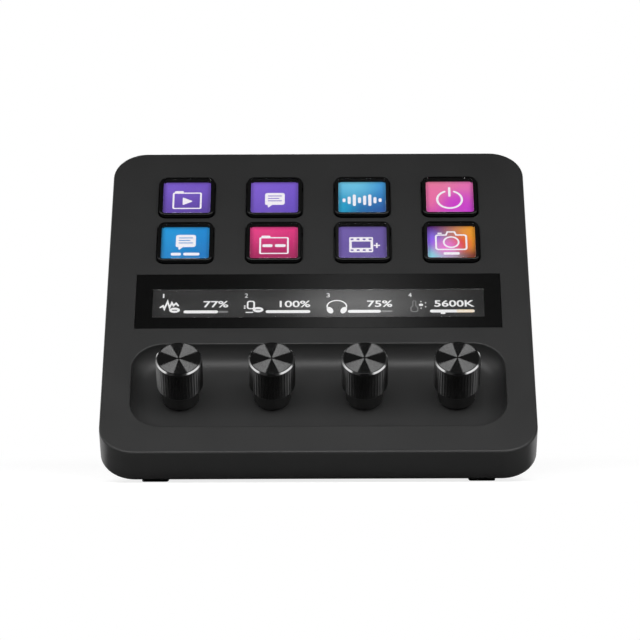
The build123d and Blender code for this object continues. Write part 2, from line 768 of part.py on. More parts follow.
# ---- Cable inlet: metal shell on a base, with a contact tongue inside ----
with BuildPart() as usb_socket:
    with BuildSketch(level(main_board_bottom)):
        with Locations((0, usb_v)):
            Rectangle(usb_base[0], usb_base[1])
    extrude(amount=-usb_base[2])
    with BuildSketch(level(usb_mouth)):
        with Locations((0, usb_v)):
            SlotOverall(usb_w, usb_h)
    extrude(amount=main_board_bottom - usb_mouth)
    with BuildSketch(level(usb_mouth)):
        with Locations((0, usb_v)):
            SlotOverall(usb_w - 2 * usb_shell_t, usb_h - 2 * usb_shell_t)
    extrude(amount=usb_cavity_l, mode=Mode.SUBTRACT)
    with BuildSketch(level(usb_mouth + usb_tongue_set_in)):
        with Locations((0, usb_v)):
            Rectangle(usb_tongue[0], usb_tongue[1])
    extrude(amount=usb_cavity_l - usb_tongue_set_in)
usb_socket.part.label = "usb_socket"
export_step(usb_socket.part, "parts/usb_socket.step")

# ---- Dials: encoder body, rotor that only turns, shaft and knob that also move down ----
for number, place in enumerate(dial_places, 1):
    with BuildPart() as encoder_body:
        with BuildSketch(level(trough_under)):
            with Locations(place):
                Rectangle(encoder_size, encoder_size)
        extrude(amount=-encoder_height)
        with BuildSketch(level(trough_under)):
            discs([place], bushing_d)
        extrude(amount=bushing_l)
        with BuildSketch(level(encoder_bottom)):
            discs([(place[0] + dx, place[1] + dv) for dx, dv in pin_offsets], pin_d)
        extrude(amount=-pin_l)
        with BuildSketch(level(trough_under - encoder_lid)):
            discs([place], chamber_d)
        extrude(amount=-(encoder_height - encoder_lid - encoder_floor), mode=Mode.SUBTRACT)
        with BuildSketch(level(bushing_top)):
            discs([place], shaft_d + 2 * shaft_gap)
        extrude(amount=-(bushing_l + encoder_lid), mode=Mode.SUBTRACT)
    encoder_body.part.label = f"encoder_body_{number}"
    export_step(encoder_body.part, f"parts/encoder_body_{number}.step")

    with BuildPart() as encoder_rotor:
        with BuildSketch(level(rotor_top)):
            discs([place], rotor_d)
        extrude(amount=-rotor_t)
        with BuildSketch(level(rotor_top)):
            shaft_section(place, shaft_gap)
        extrude(amount=-rotor_t, mode=Mode.SUBTRACT)
    encoder_rotor.part.label = f"encoder_rotor_{number}"
    export_step(encoder_rotor.part, f"parts/encoder_rotor_{number}.step")

    with BuildPart() as encoder_shaft:
        with BuildSketch(level(shaft_bottom)):
            shaft_section(place)
        extrude(amount=shaft_top - shaft_bottom)
    encoder_shaft.part.label = f"encoder_shaft_{number}"
    export_step(encoder_shaft.part, f"parts/encoder_shaft_{number}.step")

    with BuildPart() as knob:
        with BuildSketch(level(grip_bottom)):
            discs([place], knob_d)
        extrude(amount=knob_grip_l)
        chamfer(knob.faces().sort_by(panel_axis)[-1].edges(), knob_top_chamfer)
        chamfer(knob.faces().sort_by(panel_axis)[0].edges(), knob_low_chamfer)
        with BuildSketch(level(knob_bottom)):
            discs([place], knob_foot_d)
        extrude(amount=grip_bottom - knob_bottom)
        with BuildSketch(level(knob_bottom)):
            discs([place], knob_pocket_d)
        extrude(amount=knob_pocket_l, mode=Mode.SUBTRACT)
        with BuildSketch(level(knob_bottom)):
            shaft_section(place, knob_bore_gap)
        extrude(amount=knob_top - knob_roof - knob_bottom, mode=Mode.SUBTRACT)
    knob.part.label = f"knob_{number}"
    export_step(knob.part, f"parts/knob_{number}.step")

# ---- Stand: a bent plate, flat on the desk side and lying against the back of the case ----
rear_y = overall_depth / 2
bend_v = (stand_base_t + (body_depth + stand_leg_t - front_wall) * run) / rise
stand_corners = [
    desk_point(heel_v, -body_depth),
    (rear_y, foot_height),
    (rear_y, foot_height + stand_base_t),
    desk_point(bend_v, -body_depth - stand_leg_t),
    desk_point(stand_leg_top, -body_depth - stand_leg_t),
    desk_point(stand_leg_top, -body_depth),
]
with BuildPart() as stand:
    with BuildSketch(Plane.YZ):
        with BuildLine():
            FilletPolyline(*stand_corners, radius=[stand_heel_r, 0, 0, stand_bend_r, 0, 0], close=True)
        make_face()
    extrude(amount=stand_w / 2, both=True)
    fillet(stand.edges().filter_by(Axis.Z), stand_rear_r)
    fillet(stand.edges().filter_by(panel_axis), stand_top_r)
    fillet(stand.edges().filter_by(Axis.X).group_by(Axis.Y)[-1].sort_by(Axis.Z)[-1], stand_edge_r)
    with BuildSketch(underside):
        plates([(0, ballast_y)], ballast_w, ballast_l, ballast_r, ballast_gap)
    extrude(amount=ballast_t, mode=Mode.SUBTRACT)
    with BuildSketch(underside.offset(ballast_t)):
        discs(ballast_screw_places, screw_d + 2 * screw_gap)
    extrude(amount=ballast_bite, mode=Mode.SUBTRACT)
    with BuildSketch(underside):
        plates(rear_foot_places, rear_foot_w, rear_foot_l, foot_r, foot_gap)
    extrude(amount=foot_seat, mode=Mode.SUBTRACT)
    with BuildSketch(level(-body_depth)):
        discs(stand_screw_places, screw_d + 2 * screw_hole_gap)
    extrude(amount=-stand_leg_t, mode=Mode.SUBTRACT)
    with BuildSketch(level(-body_depth - stand_leg_t + screw_head_t)):
        discs(stand_screw_places, screw_head_d + 2 * head_gap)
    extrude(amount=-body_depth, mode=Mode.SUBTRACT)
stand.part.label = "stand"
export_step(stand.part, "parts/stand.step")

# ---- Steel weight in the stand, with its countersunk screws ----
with BuildPart() as ballast_plate:
    with BuildSketch(underside):
        plates([(0, ballast_y)], ballast_w, ballast_l, ballast_r)
    extrude(amount=ballast_t)
    with BuildSketch(underside):
        discs(ballast_screw_places, countersink_d + 2 * screw_gap)
    extrude(amount=countersink_t, mode=Mode.SUBTRACT)
    with BuildSketch(underside):
        discs(ballast_screw_places, screw_d + 2 * screw_hole_gap)
    extrude(amount=ballast_t, mode=Mode.SUBTRACT)
ballast_plate.part.label = "ballast_plate"
export_step(ballast_plate.part, "parts/ballast_plate.step")

with BuildPart() as ballast_screws:
    with BuildSketch(underside):
        discs(ballast_screw_places, countersink_d)
    extrude(amount=countersink_t)
    with BuildSketch(underside):
        discs(ballast_screw_places, screw_d)
    extrude(amount=ballast_t + ballast_bite - tip_gap)
    with BuildSketch(underside):
        with Locations(*ballast_screw_places):
            RegularPolygon(screw_drive_d / 2, 6)
    extrude(amount=screw_drive_l, mode=Mode.SUBTRACT)
ballast_screws.part.label = "ballast_screws"
export_step(ballast_screws.part, "parts/ballast_screws.step")

# ---- Screws square to the panel ----
case_screws = pan_head_screws(
    case_screw_places,
    -case_seat,
    case_seat - seam_depth + case_bite,
    screw_d,
    screw_head_d,
    screw_head_t,
    screw_drive_d,
    screw_drive_l,
)
case_screws.part.label = "case_screws"
export_step(case_screws.part, "parts/case_screws.step")

stand_screws = pan_head_screws(
    stand_screw_places,
    -body_depth - stand_leg_t + screw_head_t,
    stand_leg_t - screw_head_t + stand_bite,
    screw_d,
    screw_head_d,
    screw_head_t,
    screw_drive_d,
    screw_drive_l,
)
stand_screws.part.label = "stand_screws"
export_step(stand_screws.part, "parts/stand_screws.step")

main_screws = pan_head_screws(
    main_screw_places,
    main_board_bottom,
    board_t + board_bite,
    board_screw_d,
    board_head_d,
    board_head_t,
    board_drive_d,
    board_drive_l,
)
encoder_screws = pan_head_screws(
    encoder_screw_places,
    encoder_board_bottom,
    board_t + board_bite,
    board_screw_d,
    board_head_d,
    board_head_t,
    board_drive_d,
    board_drive_l,
)
with BuildPart() as board_screws:
    add(main_screws.part)
    add(encoder_screws.part)
board_screws.part.label = "board_screws"
export_step(board_screws.part, "parts/board_screws.step")

# ---- Rubber feet ----
with BuildPart() as front_feet:
    with BuildSketch(desk):
        plates(front_foot_places, front_foot_w, front_foot_l, foot_r)
    extrude(amount=foot_height + foot_seat)
    fillet(front_feet.faces().group_by(Axis.Z)[0].edges(), foot_edge_r)
front_feet.part.label = "front_feet"
export_step(front_feet.part, "parts/front_feet.step")

with BuildPart() as rear_feet:
    with BuildSketch(desk):
        plates(rear_foot_places, rear_foot_w, rear_foot_l, foot_r)
    extrude(amount=foot_height + foot_seat)
    fillet(rear_feet.faces().group_by(Axis.Z)[0].edges(), foot_edge_r)
rear_feet.part.label = "rear_feet"
export_step(rear_feet.part, "parts/rear_feet.step")
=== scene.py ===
# %% [markdown]
# # A macro keypad with knobs
#
# The object is a desk controller: a slanted black panel with eight picture keys, a touch strip and four
# turned metal dials in a trough. Its solids come from CAD and stay where they are. This file adds what
# CAD leaves plain: the finish of every surface, the knurled dials, the pictures on the keys and on the
# strip, the light and the camera.

import json
import math

import bpy
import numpy as np
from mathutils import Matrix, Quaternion, Vector
from mathutils.geometry import tessellate_polygon


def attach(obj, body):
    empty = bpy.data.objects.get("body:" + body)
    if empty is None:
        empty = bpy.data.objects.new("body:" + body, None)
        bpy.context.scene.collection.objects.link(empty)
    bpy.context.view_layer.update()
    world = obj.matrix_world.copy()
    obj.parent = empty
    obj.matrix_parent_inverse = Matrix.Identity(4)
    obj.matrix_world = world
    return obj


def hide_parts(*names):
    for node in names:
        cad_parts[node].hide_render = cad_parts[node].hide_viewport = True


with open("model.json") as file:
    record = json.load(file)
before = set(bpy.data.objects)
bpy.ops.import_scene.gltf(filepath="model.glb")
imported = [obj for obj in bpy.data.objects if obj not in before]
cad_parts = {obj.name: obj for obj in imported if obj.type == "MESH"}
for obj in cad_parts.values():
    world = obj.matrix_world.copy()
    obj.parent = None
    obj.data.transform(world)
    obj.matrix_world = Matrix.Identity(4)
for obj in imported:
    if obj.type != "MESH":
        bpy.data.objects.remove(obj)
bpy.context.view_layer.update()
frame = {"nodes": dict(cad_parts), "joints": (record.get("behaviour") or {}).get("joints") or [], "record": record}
mm = 0.001

# %% [markdown]
# ## The panel's own axes
#
# Everything on the panel is easier to place along the panel than in the desk's frame. The dials turn
# about the panel's normal, so their joints give the tilt, and each joint's point lies on the panel over
# its dial. A place is then (across, up the slope, out of the panel) from some origin on the panel, and
# one matrix product puts it into the desk's frame. Typing the tilt again would work too, but would
# drift from the CAD when that changes.

# %% Axes of the panel, and places on it
dial_joints = [joint for joint in frame["joints"] if joint["name"].endswith("_turn")]
normal = np.array(dial_joints[0]["axis"])
normal /= np.linalg.norm(normal)
across = np.array((1.0, 0.0, 0.0))
up_slope = np.cross(normal, across)
panel_axes = np.array((across, up_slope, normal))
dial_origins = [np.array(joint["pos_m"]) for joint in dial_joints]


def from_panel(points, origin):
    """Points in the desk's frame, from (across, up, out) along the panel's axes, measured from an
    origin on it."""
    return np.asarray(origin) + np.asarray(points, float) @ panel_axes


def node_points(node):
    """All vertices of a CAD node, as an array."""
    vertices = frame["nodes"][node].data.vertices
    points = np.empty(len(vertices) * 3)
    vertices.foreach_get("co", points)
    return points.reshape(-1, 3)


def panel_origin(node):
    """The point of the panel's plane over the middle of a CAD node."""
    along = (node_points(node) - dial_origins[0]) @ panel_axes.T
    middle = (along.min(0) + along.max(0)) / 2
    middle[2] = 0.0
    return from_panel(middle, dial_origins[0])


def panel_span(node):
    """Lowest and highest corner of a CAD node along the panel's axes, from its own origin on the
    panel."""
    along = (node_points(node) - panel_origin(node)) @ panel_axes.T
    return along.min(0), along.max(0)


tilt = math.degrees(math.acos(normal[2]))
print(f"panel tilt {tilt:.1f} degrees, dials at x =", [round(point[0] / mm, 1) for point in dial_origins])

# %% [markdown]
# ## The camera
#
# A long lens from far away keeps the panel's sides nearly parallel, as in a catalogue. A short lens
# close by would spread them like a fan. The camera stands almost level with the middle of the panel, so
# the slope is seen at about 45 degrees and the desk edge-on.

# %% Camera
camera_distance = 1.138
camera_lens = 195.0
film_width = 36.0
camera_reach = 50.0
camera_rise = math.radians(0.15)
camera_yaw = math.radians(0.18)
camera_roll = math.radians(-0.2)
aim_right = 0.55 * mm
aim_drop = 8.86 * mm
aim = panel_origin("strip_glass") + aim_right * across - aim_drop * up_slope
camera_data = bpy.data.cameras.new("camera")
camera_data.lens = camera_lens
camera_data.sensor_width = film_width
camera_data.clip_end = camera_reach
camera = bpy.data.objects.new("camera", camera_data)
level_sight = Vector((-math.sin(camera_yaw), math.cos(camera_yaw), 0))
sight = math.cos(camera_rise) * level_sight - Vector((0, 0, math.sin(camera_rise)))
camera.location = Vector(aim) - camera_distance * sight
camera.rotation_euler = (sight.to_track_quat("-Z", "Y") @ Quaternion((0, 0, 1), camera_roll)).to_euler()
bpy.context.scene.collection.objects.link(camera)
bpy.context.scene.camera = camera
bpy.context.scene.view_settings.view_transform = "Standard"
print("camera at", [round(value, 3) for value in camera.location])

# %% [markdown]
# ## Shader arithmetic
#
# A pattern in a material is a formula over the place on the surface. Linking Math nodes by hand hides
# the formula, so a small class wraps a node's output and turns Python's operators into Math nodes.

# %% Sockets that understand arithmetic


class Socket:
    """One output of a shader node; sums and products with it add Math nodes."""

    def __init__(self, recipe, output):
        self.recipe = recipe
        self.output = output

    def math(self, operation, *values):
        return self.recipe.add("Math", {"operation": operation}, dict(enumerate(values)))

    def __add__(self, other):
        return self.math("ADD", self, other)

    def __sub__(self, other):
        return self.math("SUBTRACT", self, other)

    def __rsub__(self, other):
        return self.math("SUBTRACT", other, self)

    def __mul__(self, other):
        return self.math("MULTIPLY", self, other)

    __radd__ = __add__
    __rmul__ = __mul__

    def absolute(self):
        return self.math("ABSOLUTE", self)

    def root(self):
        return self.math("SQRT", self)

    def minimum(self, other):
        return self.math("MINIMUM", self, other)

    def ramp(self, start, end, low=0.0, high=1.0):
        """Goes smoothly from low to high while this value goes from start to end."""
        sockets = {"Value": self, "From Min": start, "From Max": end, "To Min": low, "To Max": high}
        return self.recipe.add("MapRange", {"interpolation_type": "SMOOTHSTEP"}, sockets)

    def within(self, low, high, soft):
        """1 while this value is between low and high, with soft ends, and 0 outside."""
        return self.ramp(low - soft, low + soft) * self.ramp(high - soft, high + soft, 1.0, 0.0)


print("socket helpers:", [name for name in vars(Socket) if not name.startswith("__")])

# %% [markdown]
# ### One recipe for each material
#
# A recipe owns the node tree of one material. Every node comes from one method, which sets the node's
# settings first and then its inputs. The other methods are the few patterns that this object needs: the
# place on the surface, noise whose blobs have a real size, a blend of two colours, a bump with a real
# depth, and the main shader.

# %% Recipes


class Recipe:
    """The node tree of one material, or of the world."""

    def __init__(self, owner):
        owner.use_nodes = True
        self.owner = owner
        self.tree = owner.node_tree
        self.tree.nodes.clear()

    def add(self, kind, settings=None, sockets=None, out=0):
        """Adds a node: its settings, then the values or links of its inputs; gives back one of its
        outputs."""
        node = self.tree.nodes.new("ShaderNode" + kind)
        for name, value in (settings or {}).items():
            setattr(node, name, value)
        for name, value in (sockets or {}).items():
            if isinstance(value, Socket):
                self.tree.links.new(value.output, node.inputs[name])
            else:
                node.inputs[name].default_value = value
        return Socket(self, node.outputs[out]) if node.outputs else None

    def outputs(self, kind, sockets=None):
        """Adds a node and gives back all its outputs, by name."""
        node = self.add(kind, {}, sockets).output.node
        return {output.name: Socket(self, output) for output in node.outputs}

    def split(self, vector):
        """The three parts of a vector."""
        return self.outputs("SeparateXYZ", {"Vector": vector}).values()

    def place(self):
        """Object coordinates, in metres."""
        return self.add("TexCoord", out="Object")

    def noise(self, size, detail=2.0, where=None):
        """Noise whose blobs are about size metres across."""
        sockets = {"Vector": where or self.place(), "Scale": 1 / size, "Detail": detail}
        return self.add("TexNoise", {}, sockets)

    def blend(self, factor, first, second):
        """The first colour where the factor is 0, the second where it is 1. A Mix node keeps sockets
        for each kind of value: 0, 6 and 7 and output 2 are those of colours."""
        return self.add("Mix", {"data_type": "RGBA"}, {0: factor, 6: first, 7: second}, out=2)

    def bump(self, height, depth, strength=1.0):
        """A bumped normal from a height of 0 to 1 that stands for depth metres."""
        return self.add("Bump", {}, {"Strength": strength, "Distance": depth, "Height": height})

    def finish(self, shader):
        """Links the shader to the output, and gives back the material or the world."""
        is_world = isinstance(self.owner, bpy.types.World)
        self.add("OutputWorld" if is_world else "OutputMaterial", {}, {"Surface": shader})
        return self.owner

    def surface(self, **values):
        """Finishes with the Principled shader; names are its sockets' with _ for a space."""
        sockets = {name.replace("_", " "): value for name, value in values.items()}
        return self.finish(self.add("BsdfPrincipled", {}, sockets))


print("recipe steps:", [name for name in vars(Recipe) if not name.startswith("__")])

# %% [markdown]
# ### Colours
#
# A shader reckons in linear light, while a screen's values bunch the dark tones together. Colours are
# given here as a screen shows them, because that is how one picks them, and turned into linear light.

# %% Colours, and a recipe for a new material


def colour(red, green, blue):
    """A linear colour with alpha, from the 0 to 255 values that a screen shows."""
    values = np.array((red, green, blue)) / 255
    linear = np.where(values <= 0.04045, values / 12.92, ((values + 0.055) / 1.055) ** 2.4)
    return (*linear.tolist(), 1.0)


def grey(level):
    return colour(level, level, level)


def new_recipe(name):
    return Recipe(bpy.data.materials.new(name))


print("a screen's grey of 128 is", round(grey(128)[0], 3), "in linear light")

# %% [markdown]
# ## Studio
#
# A black product shows only what it mirrors, so the room is drawn as bright and dark directions. The
# panel mirrors the ceiling to the camera, so the ceiling is dark, apart from one narrow light that
# draws a soft band over the touch glass. The chamfers of the dials mirror low walls: a pale wall on the
# left, a shorter one on the right and a dark gap in front give each dial two bright arcs. A bright wall
# at the rear draws the edges of the stand and the back. The white backdrop is for the camera's rays,
# and for the mirrored and refracted rays that leave towards the back; it adds no light. A real studio
# with cards and flags would do the same, with more objects to keep in order.

# %% Room
world = Recipe(bpy.data.worlds.new("studio"))
bpy.context.scene.world = world.owner
side_way, back_way, up_way = world.split(world.add("TexCoord", out="Generated"))
turn = world.add("Math", {"operation": "ARCTAN2"}, {0: side_way, 1: 0 - back_way})


def wall(start, end, soft, strength):
    """A wall between two azimuths in degrees from the front, positive to the right, with soft ends in
    radians."""
    return turn.within(math.radians(start), math.radians(end), soft) * strength


room_glow = 0.06
wall_fade = (0.3, 0.52)
rear_turn, rear_strength = (2.2, 2.5), 2.0
band_middle, band_reach, band_strength = 0.0075, 0.026, 1.05
band_height, band_end = (0.985, 0.995), (-0.005, -0.001)
backdrop_turn, backdrop_top = (0.6, 0.8), (0.3, 0.5)
low_walls = up_way.ramp(*wall_fade, 1.0, 0.0)
left_wall = wall(start=-125, end=-47, soft=0.1, strength=1.25)
right_wall = wall(start=31, end=88, soft=0.12, strength=1.3)
rear_wall = turn.absolute().ramp(*rear_turn) * rear_strength
band_across = (side_way - band_middle).absolute().ramp(0.0, band_reach, 1.0, 0.0)
overhead = up_way.ramp(*band_height, 0.0, band_strength)
ceiling_band = band_across * overhead * back_way.ramp(*band_end, 1.0, 0.0)
room = room_glow + low_walls * (left_wall + right_wall + rear_wall) + ceiling_band
towards_backdrop = back_way.ramp(*backdrop_turn) * up_way.ramp(*backdrop_top, 1.0, 0.0)
ray = world.outputs("LightPath")
mirrored_ray = ray["Is Glossy Ray"] + ray["Is Transmission Ray"]
seen = (ray["Is Camera Ray"] + mirrored_ray * towards_backdrop).minimum(1.0)
world.finish(world.add("Background", {}, {"Color": (1, 1, 1, 1), "Strength": seen + (1 - seen) * room}))
print("room:", len(world.tree.nodes), "nodes")

# %% [markdown]
# ### Lamps
#
# Five soft lamps light the object. The two at the sides stand where the facets of the dials' tops
# mirror them, so each top shows bright wedges with dark ones between. The one behind draws the shadow
# forwards and lights the upper edges. A small one in front lifts the trough a little and is left out of
# every mirror image. The last one is a long low strip that works in mirror images alone: it draws the
# line of light along the trough's upper curve.

# %% Lamps


def soft_lamp(name, place, target, width, height, power):
    """A rectangular lamp at a place, turned towards a target."""
    data = bpy.data.lights.new(name, "AREA")
    data.shape = "RECTANGLE"
    data.size = width
    data.size_y = height
    data.energy = power
    lamp = bpy.data.objects.new(name, data)
    lamp.location = place
    lamp.rotation_euler = (Vector(target) - Vector(place)).to_track_quat("-Z", "Y").to_euler()
    bpy.context.scene.collection.objects.link(lamp)
    return lamp


def way_of(azimuth, elevation):
    """Direction from the object: azimuth in degrees from the front to the right, and elevation."""
    azimuth, elevation = math.radians(azimuth), math.radians(elevation)
    flat = math.cos(elevation)
    return Vector((math.sin(azimuth) * flat, -math.cos(azimuth) * flat, math.sin(elevation)))


lamp_distance = 1.2
lamp_target = Vector((0, -0.02, 0.05))
edge_target = Vector((0, -0.03, 0.045))
side_azimuth, side_elevation = 40, 48
for side in (-1, 1):
    place = lamp_target + lamp_distance * way_of(side * side_azimuth, side_elevation)
    soft_lamp(f"side_lamp_{side}", place, lamp_target, width=0.66, height=0.5, power=1.8)
front_lamp = soft_lamp("front_lamp", (0, -0.18, 0.13), (0, -0.05, 0.03), width=0.4, height=0.08, power=0.5)
front_lamp.visible_glossy = False
front_lamp.visible_camera = False
rear_place = lamp_target + lamp_distance * way_of(azimuth=180, elevation=24)
soft_lamp("rear_lamp", rear_place, lamp_target, width=0.9, height=0.4, power=5.0)
edge_place = edge_target + lamp_distance * way_of(azimuth=0, elevation=34)
edge_lamp = soft_lamp("edge_lamp", edge_place, edge_target, width=1.2, height=0.2, power=5.6)
edge_lamp.visible_diffuse = False
print("lamps:", [lamp.name for lamp in bpy.data.lights])

# %% [markdown]
# ### Floor
#
# The floor is pale paper. To the camera it is a grey matte with a glow near the object, which keeps the
# soft shadow, and plain white farther off, so that it runs into the backdrop. The light that it throws
# back comes from a darker matte, because white paper would light the case from below. In mirror images
# the paper in front of the object is painted dark, a painted dark reflection like that of a black card
# laid there: that keeps the front wall and the middle of the grips deep.

# %% Floor
floor_reach = 3.0
mirror_start, painted_dark_reflection_start, white_start = (-0.05, -0.03), (-0.09, -0.075), (0.09, 0.2)
floor_corners = [(x * floor_reach, y * floor_reach, 0) for x, y in ((-1, -1), (1, -1), (1, 1), (-1, 1))]
floor_mesh = bpy.data.meshes.new("floor")
floor_mesh.from_pydata(floor_corners, [], [(0, 1, 2, 3)])
floor = bpy.data.objects.new("floor", floor_mesh)
bpy.context.scene.collection.objects.link(floor)
paper = new_recipe("paper")
paper_ray = paper.outputs("LightPath")
_, paper_back, _ = paper.split(paper.place())
in_front = paper_back.ramp(*mirror_start, 1.0, 0.0)
far_front = paper_back.ramp(*painted_dark_reflection_start, 1.0, 0.0)
mirrored = paper_ray["Is Glossy Ray"] + paper_ray["Is Transmission Ray"]
paper_seen = (paper_ray["Is Camera Ray"] + mirrored * (1 - in_front)).minimum(1.0)
away = paper.add("VectorMath", {"operation": "LENGTH"}, {0: paper.place()}, out="Value")
# Painted dark reflection: mirrored rays in front of the object see grey 30, though that floor is lit. Light and
# the other rays see grey 140.
paper_tone_with_painted_dark_reflection = paper.blend(far_front * mirrored.minimum(1.0), grey(140), grey(30))
matte = {"Base Color": paper_tone_with_painted_dark_reflection, "Roughness": 1.0, "Specular IOR Level": 0.0}
paper_matte = paper.add("BsdfPrincipled", {}, matte)
paper_tint = paper.add("BsdfDiffuse", {}, {"Color": grey(150)})
paper_white = paper.add("Emission", {}, {"Color": (1, 1, 1, 1), "Strength": 1.0})
paper_shade = paper.add("Emission", {}, {"Color": (1, 1, 1, 1), "Strength": 0.8})
paper_near = paper.add("AddShader", {}, {0: paper_tint, 1: paper_shade})
paper_shown = paper.add("MixShader", {}, {0: away.ramp(*white_start), 1: paper_near, 2: paper_white})
paper_mix = paper.add("MixShader", {}, {0: paper_seen, 1: paper_matte, 2: paper_shown})
floor_mesh.materials.append(paper.finish(paper_mix))
print("floor:", 2 * floor_reach, "m wide")

# %% [markdown]
# ## Moulded plastic
#
# The case is injection moulded with a fine spark-eroded grain. Three layers make it: a grain of about a
# fifth of a millimetre in the bump, a slow drift of the tone, and patches where handling has polished
# the grain a little.

# %% Moulded plastic


def moulded_plastic(name, level, roughness):
    """Matte moulded plastic: grain in the bump, slow changes of tone and gloss."""
    grain, grain_depth = 0.22 * mm, 0.012 * mm
    recipe = new_recipe(name)
    drift = recipe.noise(22 * mm, 3)
    speck = recipe.noise(grain, 3)
    polish = recipe.noise(14 * mm, 4).ramp(0.45, 0.7)
    tone = (drift * 0.5 + speck * 0.5).ramp(0.3, 0.7)
    base = recipe.blend(tone, grey(level * 0.94), grey(level * 1.05))
    rough = roughness + (speck - 0.5) * 0.1 - polish * 0.05
    normal_out = recipe.bump(speck, grain_depth, 0.8)
    return recipe.surface(Base_Color=base, Roughness=rough, Normal=normal_out, Specular_IOR_Level=0.4)


finishes = {
    "panel_plastic": moulded_plastic("panel_plastic", 41, 0.42),
    "cover_plastic": moulded_plastic("cover_plastic", 40, 0.55),
    "stand_plastic": moulded_plastic("stand_plastic", 40, 0.55),
}
print("moulded:", ", ".join(finishes))

# %% [markdown]
# ### Gloss, glass, print and rubber
#
# The key frames and the border of the touch glass are gloss black: nearly a mirror, with a slow ripple,
# as on any polished sheet. Clear panes cover what glows. Behind glass the black is a printed ink, which
# mirrors nothing. The feet are soft rubber with a fine pimple that holds dust.

# %% Gloss black, clear glass, black print and rubber


def polished_black(name):
    """Gloss black plastic: nearly a mirror, with faint wipe marks."""
    recipe = new_recipe(name)
    wipe = recipe.noise(2.5 * mm, 5).ramp(0.45, 0.8)
    ripple = recipe.noise(3 * mm, 1)
    base = recipe.blend(wipe, grey(5), grey(8))
    normal_out = recipe.bump(ripple, 0.004 * mm, 0.3)
    return recipe.surface(Base_Color=base, Roughness=0.1 + wipe * 0.015, Normal=normal_out)


def clear_glass(name, roughness=0.02):
    """Clear glass or acrylic, with a trace of wiping in its gloss."""
    recipe = new_recipe(name)
    wipe = recipe.noise(4 * mm, 4).ramp(0.5, 0.8)
    rough = roughness + wipe * 0.03
    return recipe.surface(Base_Color=(1, 1, 1, 1), Roughness=rough, IOR=1.49, Transmission_Weight=1.0)


def black_ink(name, speck_size, dark, pale):
    """Matte black print that mirrors nothing, with a fine speck in its tone."""
    recipe = new_recipe(name)
    speck = recipe.noise(speck_size, 3).ramp(0.3, 0.7)
    base = recipe.blend(speck, grey(dark), grey(pale))
    return recipe.surface(Base_Color=base, Roughness=0.9, Specular_IOR_Level=0.0)


def rubber(name, level):
    """Soft rubber: dusty, with a fine even pimple."""
    recipe = new_recipe(name)
    dust = recipe.noise(3 * mm, 5).ramp(0.4, 0.75)
    pimple = recipe.noise(0.35 * mm, 1)
    base = recipe.blend(dust, grey(level), grey(level + 9))
    normal_out = recipe.bump(pimple, 0.03 * mm, 0.7)
    return recipe.surface(Base_Color=base, Roughness=0.8 + dust * 0.1, Normal=normal_out)


key_lining = black_ink("key_lining", 0.3 * mm, 6, 10)
print_black = black_ink("print_black", 0.5 * mm, 4, 7)
finishes.update(
    strip_glass=polished_black("strip_glass"),
    key_black=polished_black("key_black"),
    key_clear=clear_glass("key_clear"),
    foot_rubber=rubber("foot_rubber", 20),
)
print("finishes so far:", len(finishes))

# %% [markdown]
# ## Metal
#
# Screws, weight and socket are plated metal. Streaks drawn out along one axis, from noise whose
# coordinates are stretched, stand for fine scratches, and clouds in the tone for the mottle of the
# plating.

# %% Plated metal


def plated_metal(name, red, green, blue, roughness):
    """Plated metal: streaks drawn out along one axis, and a mottled plating."""
    recipe = new_recipe(name)
    scratch_stretch = (1, 12, 12)
    turned = recipe.add("Mapping", {}, {"Vector": recipe.place(), "Scale": scratch_stretch})
    streak = recipe.noise(1.2 * mm, 3, turned)
    cloud = recipe.noise(5 * mm, 4)
    worn = colour(red * 0.86, green * 0.86, blue * 0.86)
    base = recipe.blend(cloud.ramp(0.3, 0.7), worn, colour(red, green, blue))
    normal_out = recipe.bump(streak, 0.004 * mm, 0.5)
    rough = roughness + (cloud - 0.5) * 0.16
    return recipe.surface(Base_Color=base, Metallic=1.0, Roughness=rough, Normal=normal_out)


finishes.update(
    knob_metal=plated_metal("knob_plain", 40, 40, 42, 0.35),
    steel=plated_metal("steel", 190, 192, 196, 0.3),
    brass=plated_metal("brass", 212, 178, 96, 0.3),
    black_screw=plated_metal("black_screw", 44, 44, 46, 0.38),
)
print("finishes so far:", len(finishes))

# %% [markdown]
# ### Boards and the pieces inside
#
# The pieces inside hardly show, but every one gets its own finish, so that the object can be opened in
# a view. Then every CAD node gets the finish that its record asks for.

# %% Finishes of the inner pieces, and a finish for every CAD node


def printed_board(name):
    """Green solder mask with darker copper runs under it."""
    recipe = new_recipe(name)
    bricks = {"Vector": recipe.place(), "Scale": 90.0, "Mortar Size": 0.03}
    runs = recipe.add("TexBrick", {}, bricks, out=1).ramp(0.2, 0.8)
    base = recipe.blend(runs, colour(12, 62, 34), colour(34, 92, 52))
    normal_out = recipe.bump(runs, 0.02 * mm)
    return recipe.surface(Base_Color=base, Roughness=0.32, Normal=normal_out)


def plain_finish(name, first, second, size, roughness, depth=0.01 * mm):
    """A two-tone speckled finish for small inner pieces."""
    recipe = new_recipe(name)
    speck = recipe.noise(size, 3)
    base = recipe.blend(speck.ramp(0.35, 0.65), first, second)
    normal_out = recipe.bump(speck, depth, 0.6)
    rough = roughness + (speck - 0.5) * 0.12
    return recipe.surface(Base_Color=base, Roughness=rough, Normal=normal_out)


